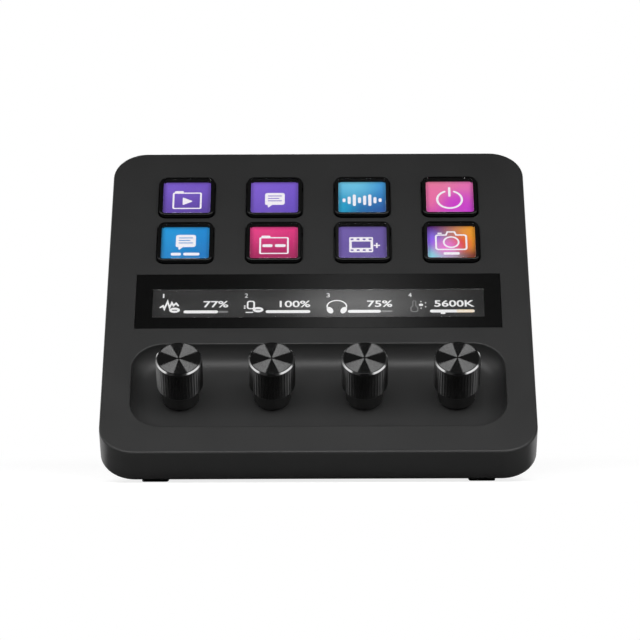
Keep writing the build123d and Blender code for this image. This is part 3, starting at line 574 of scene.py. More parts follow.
finishes.update(
    display=plain_finish("display", grey(18), grey(24), 1.5 * mm, 0.25),
    light_plate=plain_finish("light_plate", grey(225), grey(235), 2 * mm, 0.5),
    guide_plastic=plain_finish("guide_plastic", grey(20), grey(26), 0.4 * mm, 0.5),
    board=printed_board("board"),
    chip=plain_finish("chip", grey(28), grey(36), 0.3 * mm, 0.55),
    tape=plain_finish("tape", colour(196, 120, 30), colour(214, 140, 44), 1.0 * mm, 0.25),
    socket_plastic=plain_finish("socket_plastic", colour(226, 220, 200), colour(236, 232, 214), mm, 0.4),
    silicone=plain_finish("silicone", grey(92), grey(104), 1.2 * mm, 0.6),
    foam=plain_finish("foam", grey(30), grey(52), 0.5 * mm, 0.95, 0.2 * mm),
)
for subpart in frame["record"]["subparts"]:
    materials = frame["nodes"][subpart["node"]].data.materials
    materials.clear()
    materials.append(finishes[subpart["material_slot"]])
print("finishes:", len(finishes))

# %% [markdown]
# ## Making meshes from arrays
#
# A turned piece is a grid: one row for each ring of its profile and one column for each step round its
# axis. It is worked out as whole arrays and handed to Blender at once. Modelling it by hand would give
# the same faces, but no formula to change.

# %% Pieces and turned bodies


def add_piece(name, shape, origin, material, body, sharp_angle=30):
    """Makes a mesh object that rides on a CAD body. Its shape is (points, faces), with the points along
    the panel's axes from the origin. Faces of three or four corners are shaded smoothly up to the sharp
    edges; large flat ones stay flat."""
    points, faces = shape
    mesh = bpy.data.meshes.new(name)
    mesh.from_pydata(from_panel(points, origin).tolist(), [], faces)
    mesh.set_sharp_from_angle(angle=math.radians(sharp_angle))
    mesh.polygons.foreach_set("use_smooth", np.array([len(face) <= 4 for face in faces]))
    mesh.materials.append(material)
    piece = bpy.data.objects.new(name, mesh)
    bpy.context.scene.collection.objects.link(piece)
    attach(piece, body)
    return piece


def grid_faces(rings, steps):
    """Quads of a grid stored ring by ring, whose last column joins the first."""
    index = np.arange(rings * steps).reshape(rings, steps)
    index = np.hstack((index, index[:, :1]))
    corners = (index[:-1, :-1], index[:-1, 1:], index[1:, 1:], index[1:, :-1])
    return np.stack(corners, axis=-1).reshape(-1, 4).tolist()


def turned_body(radius, height):
    """A closed turned body. Point = (radius cos a, radius sin a, height), where radius and height are
    grids with a row for each ring and a column for each step of the angle a. Both ends close at a pole
    on the axis."""
    rings, steps = radius.shape
    angle = np.linspace(0, 2 * np.pi, steps, endpoint=False)
    points = np.stack((radius * np.cos(angle), radius * np.sin(angle), height), axis=-1).reshape(-1, 3)
    poles = np.array(((0, 0, height[0].mean()), (0, 0, height[-1].mean())))
    first = np.arange(steps)
    after = np.roll(first, -1)
    last = (rings - 1) * steps
    start_cap = np.stack((np.full(steps, rings * steps), after, first), axis=-1)
    end_cap = np.stack((last + first, last + after, np.full(steps, rings * steps + 1)), axis=-1)
    faces = grid_faces(rings, steps) + start_cap.tolist() + end_cap.tolist()
    return np.vstack((points, poles)), faces


print("faces of a disc with two rings of twelve:", len(turned_body(np.ones((2, 12)), np.zeros((2, 12)))[1]))

# %% [markdown]
# ### Paths with round corners
#
# Nearly every edge here is a path of straight runs joined by arcs: the profile of a knob, the outline of
# a window, the body of a sign. A bevel could round the corners afterwards, but an arc in the path has
# exactly the radius that is asked for.

# %% Rounded paths


def rounded_path(corners, radii, steps=6, closed=False):
    """A path of straight runs with an arc of the given radius at each corner. Each arc touches both
    runs: it starts radius * tan(half the turn) before the corner and turns about a centre square to the
    run."""
    corners = [np.array(corner, float) for corner in corners]
    count = len(corners)
    path = []
    for index, (corner, radius) in enumerate(zip(corners, radii)):
        is_end = not closed and index in (0, count - 1)
        if is_end or radius <= 0:
            path.append(corner)
            continue
        arriving = corner - corners[index - 1]
        leaving = corners[(index + 1) % count] - corner
        arriving /= np.linalg.norm(arriving)
        leaving /= np.linalg.norm(leaving)
        turn = math.atan2(arriving[0] * leaving[1] - arriving[1] * leaving[0], arriving @ leaving)
        side = math.copysign(1, turn)
        square = side * np.array((-arriving[1], arriving[0]))
        start = corner - radius * math.tan(abs(turn) / 2) * arriving
        centre = start + radius * square
        for part in np.linspace(0, 1, steps + 1):
            swing = abs(turn) * part
            path.append(centre + radius * (math.sin(swing) * arriving - math.cos(swing) * square))
    return np.array(path)


unit_square = [(0, 0), (1, 0), (1, 1), (0, 1)]
print("points of a square with round corners:", len(rounded_path(unit_square, [0.2] * 4, closed=True)))

# %% [markdown]
# ### Flat plates
#
# A plate is a set of closed outlines, the first one outside and the rest holes, given a thickness. Its
# two large sides are cut into triangles by Blender's own routine, which knows about holes, and its edges
# are quads.

# %% Flat plates


def signed_area(outline):
    """Twice the area inside an outline, positive where it runs anticlockwise."""
    after = np.roll(outline, -1, axis=0)
    return float((outline[:, 0] * after[:, 1] - outline[:, 1] * after[:, 0]).sum())


def plate_mesh(outlines, low, high):
    """Points and faces of a flat plate between two heights. The first outline is its edge, the others
    are holes."""
    outlines = [outline if signed_area(outline) > 0 else outline[::-1] for outline in outlines]
    outlines[1:] = [outline[::-1] for outline in outlines[1:]]
    flat = np.vstack(outlines)
    count = len(flat)
    loops = [[Vector((*point, 0)) for point in outline] for outline in outlines]
    triangles = np.array(tessellate_polygon(loops))
    wound = [flat[triangle] for triangle in triangles]
    turns = np.array([signed_area(triangle) > 0 for triangle in wound])
    triangles[~turns] = triangles[~turns][:, ::-1]
    points = np.vstack([np.column_stack((flat, np.full(count, level))) for level in (low, high)])
    faces = (triangles + count).tolist() + triangles[:, ::-1].tolist()
    start = 0
    for outline in outlines:
        here = start + np.arange(len(outline))
        after = np.roll(here, -1)
        faces += np.stack((here, after, after + count, here + count), axis=-1).tolist()
        start += len(outline)
    return points, faces


def flat_parts(shapes, low, high):
    """Plates between two heights, for shapes whose outlines are given in millimetres."""
    return [plate_mesh([outline * mm for outline in shape], low, high) for shape in shapes]


def joined(parts):
    """Several (points, faces) sets as one."""
    points, faces, start = [], [], 0
    for part_points, part_faces in parts:
        points.append(part_points)
        faces += [[index + start for index in face] for face in part_faces]
        start += len(part_points)
    return np.vstack(points), faces


print("faces of a square plate:", len(plate_mesh([np.array(unit_square)], 0, 1)[1]))

# %% [markdown]
# ## The dials
#
# Each dial is turned from black anodised aluminium: a plain foot, a knurled grip, a narrow polished
# chamfer and a top faced on the lathe. A bump map could fake the knurl and the turning marks, but both
# catch the light as real facets, so they are real here: rows of small teeth cover the grip, and fine
# rings cut the top.

# %% Knob measures
knob_low, knob_high = panel_span("knob_1")
knob_radius = knob_high[0]
knob_top = knob_high[2]
knob_bottom = knob_low[2]
grip_length = 12.0 * mm
foot_radius = knob_radius - 1.5 * mm
pocket_radius = 4.7 * mm
pocket_depth = 3.0 * mm
bore_radius = 3.02 * mm
bore_roof = knob_top - 3.0 * mm
top_chamfer = 0.5 * mm
chamfer_land = 0.1 * mm
inside_skin = 0.01 * mm
grip_neck = 0.06 * mm
edge_round = 0.25 * mm
knurls_round = 44
knurl_columns = 5
groove_share = 0.25
knurl_rows = 28
knurl_depth = 0.15 * mm
knurl_margin = 0.25 * mm
turning_pitch = 0.2 * mm
turning_slope = math.radians(21)
turning_centre = 0.2 * mm
print(f"knob: radius {knob_radius / mm:.2f} mm, height {(knob_top - knob_bottom) / mm:.2f} mm")

# %% [markdown]
# ### The surface of a knob
#
# The teeth of the grip are a zigzag along the axis, cut by narrow grooves. The top is cut in fine rings,
# as a pointed tool leaves them, and the slope of their sides decides which lamp each part of the top
# mirrors. Each stretch of the surface gives its radius and height as two arrays, a row for each ring.

# %% Grip and top


def zigzag(value):
    """Goes from 0 to 1 and back while the value grows by one."""
    return 1 - np.abs(2 * np.mod(value, 1) - 1)


def even_rings(profile, steps):
    """Radius and height grids of rings that are the same all round, from a profile of (radius, height)."""
    return tuple(np.broadcast_to(row[:, None], (len(row), steps)) for row in profile.T)


def knurled_grip(steps, low, high):
    """Radius and height of the grip. Depth = knurl_depth * (1 - ridge * tooth): the ridge is a zigzag
    along the axis, and the tooth is 1 except in the narrow grooves along the axis, which part each
    ridge into teeth."""
    s = np.arange(knurl_rows * 2 + 1)[:, None] / 2
    tooth = np.where(np.arange(steps) % knurl_columns == 0, groove_share, 1.0)[None, :]
    height = low + (high - low) * s / knurl_rows
    teeth = zigzag(s) * tooth
    return knob_radius - knurl_depth * (1 - teeth), np.broadcast_to(height, teeth.shape)


def faced_top(steps, outer):
    """Radius and height of the top: fine grooves whose sides slope by the turning slope. With n
    counting rings inwards, radius = outer - n * pitch / 2, and every other ring lies pitch / 2 *
    tan(slope) lower."""
    waves = int((outer - turning_centre) / turning_pitch)
    count = np.arange(2 * waves + 1)
    radius = outer - count * turning_pitch / 2
    height = knob_top - turning_pitch / 2 * math.tan(turning_slope) * (count % 2)
    return even_rings(np.column_stack((radius, height)), steps)


print("rings of the top:", len(faced_top(knurls_round * knurl_columns, knob_radius)[0]))

# %% [markdown]
# ### The whole knob
#
# The knob is one closed grid. Its rings start at the roof of the bore, run down inside, round the foot
# and up the grip, over the chamfer, and end at the middle of the top.

# %% Knob grid


def knob_grid():
    """The whole knob as rings, from the roof of its bore, down inside, and up outside to the middle of
    its top."""
    steps = knurls_round * knurl_columns
    grip_low = knob_top - grip_length
    knurl_low = grip_low + knurl_margin
    knurl_high = knob_top - top_chamfer - knurl_margin
    lower = rounded_path(
        [
            (bore_radius, bore_roof),
            (bore_radius, knob_bottom + pocket_depth),
            (pocket_radius, knob_bottom + pocket_depth),
            (pocket_radius, knob_bottom),
            (foot_radius, knob_bottom),
            (foot_radius, grip_low),
            (knob_radius - knurl_depth, grip_low),
            (knob_radius - knurl_depth, knurl_low),
        ],
        [0, 0, 0, edge_round, edge_round, edge_round, edge_round, 0],
        steps=3,
    )
    chamfer_low = knob_top - top_chamfer
    top_edge = knob_radius - top_chamfer
    chamfer = np.array(
        [
            (knob_radius - grip_neck, knurl_high),
            (knob_radius - inside_skin, chamfer_low - chamfer_land),
            (knob_radius - inside_skin, chamfer_low),
            (top_edge - inside_skin, knob_top),
            (top_edge - chamfer_land, knob_top),
        ]
    )
    grip = knurled_grip(steps, knurl_low, knurl_high)
    top = faced_top(steps, top_edge - 2 * chamfer_land)
    parts = (even_rings(lower, steps), grip, even_rings(chamfer, steps), top)
    return np.vstack([part[0] for part in parts]), np.vstack([part[1] for part in parts])


knob_radii, knob_heights = knob_grid()
print("knob grid:", *knob_radii.shape, "rings and steps")

# %% [markdown]
# ### Anodised metal
#
# Anodising leaves the lathe's marks visible: the colour is nearly black, the gloss is a metal's. The
# chamfer is cut last, through the black, so it is paler. Its mask is the height along the dial's axis,
# which is a dot product with the panel's normal; every spot of the chamfer, and nothing else, lies in
# that thin layer.

# %% Knob finish and the four knobs


def anodised(name):
    """Black anodised aluminium with a fine tooth and a paler chamfer. The level counts in chamfers: it
    is 0 at the top and -1 at the chamfer's lower edge. The grip below it is blasted, so its gloss is
    softer."""
    recipe = new_recipe(name)
    tooth = recipe.noise(0.08 * mm, 2)
    rub = recipe.noise(3 * mm, 3).ramp(0.4, 0.75)
    black = recipe.blend(rub, grey(90), grey(96))
    upwards = {0: recipe.place(), 1: normal.tolist()}
    lift = recipe.add("VectorMath", {"operation": "DOT_PRODUCT"}, upwards, out="Value")
    level = (lift - float(dial_origins[0] @ normal) - knob_top) * (1 / top_chamfer)
    bare = level.ramp(-1.08, -1.0) * level.ramp(-0.16, -0.09, 1.0, 0.0)
    faced = recipe.blend(level.ramp(-0.2, -0.13), black, grey(102))
    base = recipe.blend(bare, faced, grey(188))
    normal_out = recipe.bump(tooth, 0.002 * mm, 0.4)
    rough = level.ramp(-1.3, -1.1, 0.3, 0.08) + rub * 0.03
    return recipe.surface(Base_Color=base, Metallic=1.0, Roughness=rough, Normal=normal_out)


knob_metal = anodised("knob_metal")
knob_shape = turned_body(knob_radii, knob_heights)
knob_sharp_angle = 36
for number, origin in enumerate(dial_origins, 1):
    body = f"dial_{number}"
    name = f"turned_knob_{number}"
    knob = add_piece(name, knob_shape, origin, knob_metal, body, knob_sharp_angle)
    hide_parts(f"knob_{number}")
print("knob:", len(knob_shape[1]), "faces each")

# %% [markdown]
# ## Drawing with outlines
#
# The pictures on the keys and the signs on the strip are flat shapes. Each is a few closed outlines in
# millimetres: a rounded box, a disc, or a stroke, which is a path given a width and round ends. A font
# of signs would do, but outlines need no file and stay sharp at any size.

# %% Boxes, discs and strokes


def box_outline(x, y, width, height, corner=0.3):
    """A box with rounded corners, around its middle."""
    right, top = width / 2, height / 2
    corners = [(x - right, y - top), (x + right, y - top), (x + right, y + top), (x - right, y + top)]
    return rounded_path(corners, [corner] * 4, 5, closed=True)


def disc_outline(x, y, radius, steps=40, squash=1.0):
    """A circle, or an ellipse squashed in height."""
    angle = np.linspace(0, 2 * np.pi, steps, endpoint=False)
    return np.column_stack((x + radius * np.cos(angle), y + radius * squash * np.sin(angle)))


def arc_path(x, y, radius, start, end, steps=32):
    """Points along an arc, with its angles in degrees."""
    angle = np.radians(np.linspace(start, end, steps))
    return np.column_stack((x + radius * np.cos(angle), y + radius * np.sin(angle)))


def stroke_outline(path, width, cap_steps=6):
    """The outline of a stroke along an open path: both sides at half the width, closed by round ends. A
    corner's sides are moved out by 1 / cos(half the turn), so that the stroke keeps its width."""
    path = np.asarray(path, float)
    runs = np.diff(path, axis=0)
    runs /= np.linalg.norm(runs, axis=1)[:, None]
    arriving = np.vstack((runs[:1], runs))
    leaving = np.vstack((runs, runs[-1:]))
    middle = arriving + leaving
    middle /= np.linalg.norm(middle, axis=1)[:, None]
    square = np.column_stack((-middle[:, 1], middle[:, 0]))
    spread = width / 2 / np.maximum((middle * leaving).sum(1), 0.3)
    left = path + square * spread[:, None]
    right = path - square * spread[:, None]
    swing = np.linspace(0, np.pi, cap_steps + 1)[1:-1, None]
    ends = []
    for point, way in ((path[-1], leaving[-1]), (path[0], -arriving[0])):
        side = np.array((way[1], -way[0]))
        ends.append(point + width / 2 * (side * np.cos(swing) + way * np.sin(swing)))
    return np.vstack((right, ends[0], left[::-1], ends[1]))


print("points of a box:", len(box_outline(0, 0, 2, 1)), "and of a disc:", len(disc_outline(0, 0, 1)))

# %% [markdown]
# ### Signs of the keys
#
# They are plain signs of the kind every control surface shows. Every sign is drawn in millimetres around
# the key's middle, as a list of shapes, each with its outer outline first and its holes after it. Words
# are stood for by bars.

# %% Folder, play, words, bubble and levels


def folder_sign():
    """A folder drawn in line, with a filled tab on the left."""
    outer = box_outline(0, -0.65, 9.9, 8.0, 0.6)
    hole = box_outline(0, -0.65, 8.7, 7.0, 0.2)
    tab = [(-4.3, 2.9), (-1.2, 2.9), (-1.2, 4.1), (-4.3, 4.1)]
    return [[outer, hole], [rounded_path(tab, [0, 0, 0.5, 0.5], 4, closed=True)]]


def play_sign(x, y, size):
    """A filled triangle that points to the right."""
    corners = [(x - 0.5 * size, y - 0.6 * size), (x + 0.6 * size, y), (x - 0.5 * size, y + 0.6 * size)]
    return [[rounded_path(corners, [0.25] * 3, 4, closed=True)]]


def word_signs(x, y, widths, gap, height):
    """One line of words stood for by plain bars."""
    starts = x + np.concatenate(([0], np.cumsum(np.array(widths[:-1]) + gap)))
    words = zip(starts, widths)
    return [[box_outline(start + width / 2, y, width, height, height * 0.35)] for start, width in words]


def bubble_sign(x, y):
    """A filled speech bubble with a tail at the lower left and three lines cut out of it."""
    tail = [(-2.5, -2.9), (-2.3, -4.4), (-0.9, -2.9)]
    corners = [(-3.35, -2.9), *tail, (3.35, -2.9), (3.35, 2.9), (-3.35, 2.9)]
    outer = rounded_path(corners, [0.5, 0, 0.2, 0, 0.9, 0.9, 0.9], 4, closed=True) + (x, y)
    lines = [box_outline(x + width / 2 - 2.4, y + rise, width, 0.42, 0.15)
             for width, rise in ((4.8, 1.45), (3.9, 0.25), (4.8, -0.95))]
    return [[outer, *lines]]


def level_signs(heights, pitch, width, y):
    """Upright level bars with round ends, centred."""
    start = -pitch * (len(heights) - 1) / 2
    corner = width * 0.49
    return [[box_outline(start + pitch * n, y, width, height, corner)] for n, height in enumerate(heights)]


print("shapes of three level bars:", len(level_signs((1, 2, 1), 2, 1, 0)))

# %% [markdown]
# ### Power, film and camera
#
# The other three signs are drawn in line: a stroke for the power sign, and outlines with holes for the
# strip of film and the camera.

# %% Power, film and camera


def power_sign():
    """An open ring with an upright bar in its gap."""
    return [
        [stroke_outline(arc_path(0, -0.5, 4.2, 113, 427, 56), 0.75)],
        [stroke_outline([(0, 1.3), (0, 5.2)], 0.8)],
    ]


def film_sign():
    """A strip of film with square holes along both edges, and a plus beside it."""
    outer = box_outline(-0.5, -0.4, 8.0, 7.2, 0.4)
    picture = box_outline(-0.5, -0.4, 6.3, 3.1, 0.1)
    places = [(-3.55 + 2.03 * n, side * 2.6 - 0.4) for n in range(4) for side in (-1, 1)]
    holes = [box_outline(*place, 0.95, 0.75, 0.12) for place in places]
    plus = [(-0.28, 0.28), (-0.28, 1.2), (0.28, 1.2), (0.28, 0.28), (1.1, 0.28), (1.1, -0.28),
            (0.28, -0.28), (0.28, -1.2), (-0.28, -1.2), (-0.28, -0.28), (-1.1, -0.28), (-1.1, 0.28)]
    return [[outer, picture, *holes], [np.array(plus) + (4.75, -0.75)]]


def ring(x, y, radius, width):
    """A circle drawn in line."""
    return [disc_outline(x, y, radius + width / 2), disc_outline(x, y, radius - width / 2)]


def camera_sign():
    """A camera drawn in line: body with a hump, a ring for its lens and a button."""
    hump = [(1.9, 4.4), (1.4, 5.9), (-1.4, 5.9), (-1.9, 4.4)]
    hump_inside = [(1.5, 3.8), (1.0, 5.3), (-1.0, 5.3), (-1.5, 3.8)]
    body = [(-5.4, -3.1), (5.4, -3.1), (5.4, 4.4), *hump, (-5.4, 4.4)]
    inside = [(-4.8, -2.5), (4.8, -2.5), (4.8, 3.8), *hump_inside, (-4.8, 3.8)]
    outer = rounded_path(body, [1.0, 1.0, 1.0, 0.2, 0.4, 0.4, 0.2, 1.0], 5, closed=True)
    hole = rounded_path(inside, [0.6, 0.6, 0.6, 0.2, 0.2, 0.2, 0.2, 0.6], 5, closed=True)
    return [[outer, hole], ring(0.0, 0.7, 2.5, 0.6), [box_outline(-3.8, 4.95, 1.5, 0.6, 0.25)]]


print("outlines of the film sign:", sum(len(shape) for shape in film_sign()))

# %% [markdown]
# ## Pictures on the keys
#
# Under each clear window lies a small lit picture. It is a thin plate with a smooth wash of colour that
# glows by itself, as a display does, and the sign is a thinner plate on top of it in white. The wash
# blends four corner colours over the plate's own UV map. Towards the window's edge it is painted
# darker: painted shade, for where the window's side hides it.

# %% Glowing washes and inks


def glowing(recipe, tone):
    """Finishes a recipe as a black surface that glows in a tone."""
    black = (0, 0, 0, 1)
    return recipe.surface(Base_Color=black, Roughness=0.5, Emission_Color=tone, Emission_Strength=1.0)


def picture_wash(name, corners, spots):
    """A glowing wash: corners are the colours at lower left, lower right, upper left and upper right.
    Each spot is a colour, its place and its radius on the picture, and fades out as 1 minus a smooth
    step of the distance."""
    recipe = new_recipe(name)
    u, v, _ = recipe.split(recipe.add("TexCoord", out="UV"))
    low = recipe.blend(u.ramp(0, 1), corners[0], corners[1])
    high = recipe.blend(u.ramp(0, 1), corners[2], corners[3])
    wash = recipe.blend(v.ramp(0, 1), low, high)
    for tone, x, y, radius in spots:
        distance = ((u - x) * (u - x) + (v - y) * (v - y)).root()
        wash = recipe.blend(distance.ramp(0.0, radius, 1.0, 0.0), wash, tone)
    # Painted shade: the glow is darkened towards the plate's edge, where the window's side hides it.
    edge = u.minimum(1 - u).minimum(v.minimum(1 - v)).ramp(0.0, 0.1, 0.6, 1.0)
    return glowing(recipe, recipe.blend(edge, (0, 0, 0, 1), wash))


def lit_ink(name, tone):
    """A plain glowing colour for signs, a touch uneven as on a display."""
    recipe = new_recipe(name)
    cell = recipe.noise(0.4 * mm, 1).ramp(0.3, 0.7)
    dim = tuple(value * 0.93 for value in tone[:3]) + (1.0,)
    return glowing(recipe, recipe.blend(cell, dim, tone))


def flat_uv(piece, origin, width, height):
    """Gives a piece a UV map that spans a rectangle of the panel around an origin."""
    mesh = piece.data
    points = np.empty(len(mesh.vertices) * 3)
    mesh.vertices.foreach_get("co", points)
    along = (points.reshape(-1, 3) - origin) @ panel_axes.T
    chart = along[:, :2] / (width, height) + 0.5
    index = np.empty(len(mesh.loops), int)
    mesh.loops.foreach_get("vertex_index", index)
    layer = mesh.uv_layers.new(name="chart")
    layer.data.foreach_set("uv", chart[index].ravel())


key_white = lit_ink("key_white", colour(252, 248, 255))
print("glowing ink:", key_white.name)

# %% [markdown]
# ### What each key shows
#
# One table holds the eight keys. Each has its four corner colours, spots of colour laid over them, and
# its sign.

# %% What each key shows
key_pictures = {
    1: ([colour(100, 72, 172), colour(92, 68, 160), colour(124, 92, 206), colour(116, 84, 196)], [],
        folder_sign() + play_sign(0.1, -0.9, 3.2)),
    2: ([colour(112, 82, 194), colour(104, 78, 190), colour(130, 96, 214), colour(122, 90, 208)], [],
        bubble_sign(0.1, 0.1)),
    3: ([colour(24, 120, 176), colour(32, 82, 158), colour(58, 168, 214), colour(60, 150, 214)],
        [(colour(112, 200, 232), 0.3, 1.0, 0.75), (colour(28, 164, 206), 0.0, 0.3, 0.5)],
        level_signs((1.8, 3.6, 5.6, 2.8, 4.6, 5.6, 3.0, 1.8), 1.75, 1.05, -0.7)),
    4: ([colour(216, 78, 178), colour(196, 52, 208), colour(240, 132, 158), colour(232, 112, 180)],
        [(colour(238, 112, 168), 0.1, 0.6, 0.6), (colour(208, 62, 204), 0.62, 0.35, 0.5)], power_sign()),
    5: ([colour(22, 136, 206), colour(18, 120, 196), colour(32, 156, 224), colour(24, 140, 214)], [],
        bubble_sign(0.1, 1.7) + word_signs(-4.8, -4.6, (3.4, 5.4), 0.8, 1.3)),
    6: ([colour(166, 28, 90), colour(162, 28, 88), colour(236, 66, 138), colour(226, 56, 130)], [],
        folder_sign() + word_signs(-3.9, -0.7, (3.4, 3.6), 0.8, 1.3)),
    7: ([colour(104, 84, 162), colour(98, 80, 154), colour(114, 94, 172), colour(106, 88, 160)], [],
        film_sign()),
    8: ([colour(142, 222, 236), colour(120, 34, 40), colour(84, 24, 132), colour(240, 156, 44)],
        [(colour(140, 92, 236), 0.06, 0.6, 0.4), (colour(246, 160, 30), 0.95, 0.6, 0.45),
         (colour(228, 70, 56), 0.68, 0.5, 0.4), (colour(236, 120, 214), 0.4, 0.4, 0.42)],
        camera_sign() + word_signs(-2.7, -4.7, (5.4,), 0, 1.2)),
}
print("shapes on each key:", [len(sign) for _, _, sign in key_pictures.values()])

# %% [markdown]
# ### Layers under a window
#
# Seen from the front a key is a stack: the picture, the sign, then a dark lining round the window's
# side, which hides the clear edge. The three lie inside the place of the CAD window, and ride on the
# key, so that they sink with it when it is pressed.

# %% Lay the pictures, their signs and the linings in the keys
picture_low, picture_high = -0.69 * mm, -0.6 * mm
sign_high = -0.57 * mm
lining_low, lining_high = -0.55 * mm, 0.95 * mm
lining_insets = (0.04 * mm, 0.5 * mm)
window_corner = 1.0 * mm
pane_gap = 0.04 * mm
window_low, window_high = panel_span("key_window_1")
window_size = (window_high - window_low)[:2]
for number, (corners, spots, sign) in key_pictures.items():
    origin = panel_origin(f"key_window_{number}")
    body = f"key_{number}"
    width, length = window_size - pane_gap
    plate = plate_mesh([box_outline(0, 0, width, length, window_corner)], picture_low, picture_high)
    wash = picture_wash(f"key_wash_{number}", corners, spots)
    picture = add_piece(f"key_picture_{number}", plate, origin, wash, body)
    flat_uv(picture, origin, width, length)
    drawn = joined(flat_parts(sign, picture_high, sign_high))
    add_piece(f"key_sign_{number}", drawn, origin, key_white, body)
    rings = [box_outline(0, 0, *(window_size - inset), window_corner) for inset in lining_insets]
    lining = plate_mesh(rings, lining_low, lining_high)
    add_piece(f"key_lining_{number}", lining, origin, key_lining, body)
print("a picture is", np.round((window_size - pane_gap) / mm, 2), "mm")

# %% [markdown]
# ### Clear windows
#
# The window over a picture is a thin pane with softly rounded edges. It is a rounded box whose upper
# edge is rolled over: rings of the outline shrink a little as they rise.

# %% Panes over the pictures


def rolled_pane(width, length, corner, low, high, roll):
    """A closed pane: rings of one rounded outline, shrunk by roll * (1 - cos a) while they rise by roll
    * sin a."""
    rise = np.linspace(0, np.pi / 2, 6)
    insets = np.concatenate(([0, 0], roll * (1 - np.cos(rise[1:]))))
    heights = np.concatenate(([low, high - roll], high - roll + roll * np.sin(rise[1:])))
    rings = [box_outline(0, 0, width - 2 * inset, length - 2 * inset, corner - inset) for inset in insets]
    layers = [np.column_stack((one, np.full(len(one), height))) for one, height in zip(rings, heights)]
    steps = len(rings[0])
    bottom = list(range(steps))[::-1]
    top = list(range((len(rings) - 1) * steps, len(rings) * steps))
    return np.vstack(layers), grid_faces(len(rings), steps) + [bottom, top]


rim_top = panel_span("key_rim_1")[1][2]
pane_low, pane_high = 1.0 * mm, rim_top - 0.02 * mm
pane_roll = 0.3 * mm
key_glass = finishes["key_clear"]
for number in key_pictures:
    origin = panel_origin(f"key_window_{number}")
    shape = rolled_pane(*window_size, window_corner, pane_low, pane_high, pane_roll)
    pane = add_piece(f"key_pane_{number}", shape, origin, key_glass, f"key_{number}")
    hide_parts(f"key_window_{number}")
print(f"panes: {(pane_high - pane_low) / mm:.2f} mm thick")

# %% [markdown]
# ## The touch strip
#
# One sheet of glass covers the strip. Its border is printed black from behind, and a clear field lies
# over the display. The border, the print under it, the clear pane and the screen are thin pieces inside
# the place of the CAD glass: gloss black round the field, and glass over the signs. The screen shows
# four cells, one over each dial: a channel number, a sign, a level and its bar.

# %% Border, print, pane and screen
strip_origin = panel_origin("strip_glass")
glass_low, glass_high = panel_span("strip_glass")
glass_size = (glass_high - glass_low)[:2]
glass_corner = 0.4 * mm
screen_drop = -1.1 * mm
screen_size = np.array((109.3, 12.9)) * mm
screen_corner = 0.2 * mm
screen_origin = strip_origin + screen_drop * up_slope
strip_pane_low = -0.45 * mm
strip_pane_roll = 0.03 * mm
print_high = -0.5 * mm
print_gap = 0.1 * mm
screen_high = print_high - 0.05 * mm

pane_size = screen_size - pane_gap
shape = rolled_pane(*pane_size, screen_corner, strip_pane_low, glass_high[2], strip_pane_roll)
strip_clear = clear_glass("touch_pane", 0.03)
pane = add_piece("touch_pane", shape, screen_origin, strip_clear, "housing")
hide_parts("strip_glass")

window = box_outline(0, screen_drop, *screen_size, screen_corner)
border_layers = {
    "black_print": (glass_size - print_gap, glass_low[2], print_high, print_black),
    "glass_border": (glass_size, print_high, glass_high[2], finishes["strip_glass"]),
}
for name, (size, low, high, material) in border_layers.items():
    shape = plate_mesh([box_outline(0, 0, *size, glass_corner), window], low, high)
    add_piece(name, shape, strip_origin, material, "housing")

# The lighter grey spot a little right of the screen's middle is a painted reflection: the soft band of the
# overhead light, drawn into the screen's glow. Its edges are painted darker as well, as painted shade.
screen_corners = [grey(46), grey(44), grey(41), grey(43)]
screen_glow_with_painted_reflection = picture_wash("screen_glow_with_painted_reflection", screen_corners, [(grey(64), 0.55, 0.5, 0.45)])
shape = plate_mesh([box_outline(0, 0, *screen_size, screen_corner)], glass_low[2], screen_high)
screen = add_piece("strip_screen", shape, screen_origin, screen_glow_with_painted_reflection, "housing")
flat_uv(screen, screen_origin, *screen_size)
print("screen:", screen_size / mm, "mm")

# %% [markdown]
# ### Numbers on the strip
#
# The numbers are plain figures. Blender's own type makes them: a text object is turned into a mesh,
# measured, and then scaled to the height wanted, so its place is worked out from arrays like everything
# else.

# %% Numbers as meshes
ink_low, ink_high = screen_high, print_high - 0.02 * mm


def number_mesh(text, x, y, width, height, weight=0.018):
    """Points and faces of a number, with its baseline at y and its left end at x, in millimetres. Any
    thickness will do for the text, because it is stretched to that of the ink."""
    curve = bpy.data.curves.new("number", "FONT")
    curve.body = text
    curve.offset = weight
    curve.extrude = 0.01
    holder = bpy.data.objects.new("number", curve)
    bpy.context.scene.collection.objects.link(holder)
    bpy.context.view_layer.update()
    mesh = bpy.data.meshes.new_from_object(holder)
    points = np.empty(len(mesh.vertices) * 3)
    mesh.vertices.foreach_get("co", points)
    faces = [list(face.vertices) for face in mesh.polygons]
    bpy.data.objects.remove(holder)
    bpy.data.curves.remove(curve)
    bpy.data.meshes.remove(mesh)
    points = points.reshape(-1, 3)
    low, high = points.min(0), points.max(0)
    flat = (points[:, :2] - low[:2]) * (width, height) / (high - low)[:2] + (x, y)
    lift = ink_low + (ink_high - ink_low) * (points[:, 2] - low[2]) / (high[2] - low[2])
    return np.column_stack((flat * mm, lift)), faces


print("faces of a number of four signs:", len(number_mesh("100%", 0, 0, 10.1, 3.0)[1]))

# %% [markdown]
# ### Signs on the strip
#
# A sound wave, a microphone, headphones and a lamp stand over the dials that set them. They are drawn
# in millimetres like the signs of the keys, around their own middle.

# %% Signs of the four cells


def badge(x, y):
    """A small flat disc with a slot, as for a sound that is linked."""
    return [[disc_outline(x, y, 1.75, squash=0.68), box_outline(x, y, 1.7, 0.4, 0.18)]]


def wave_sign():
    """A jagged sound wave with a badge at its lower right."""
    line = [
        (-3.2, -0.2), (-2.4, 0.5), (-1.9, -0.9), (-0.9, 2.5), (-0.2, -0.3),
        (0.5, 1.9), (1.1, 0.6), (1.9, 1.7), (2.6, 0.6),
    ]
    return [[stroke_outline(line, 0.62)], *badge(1.5, -1.5)]


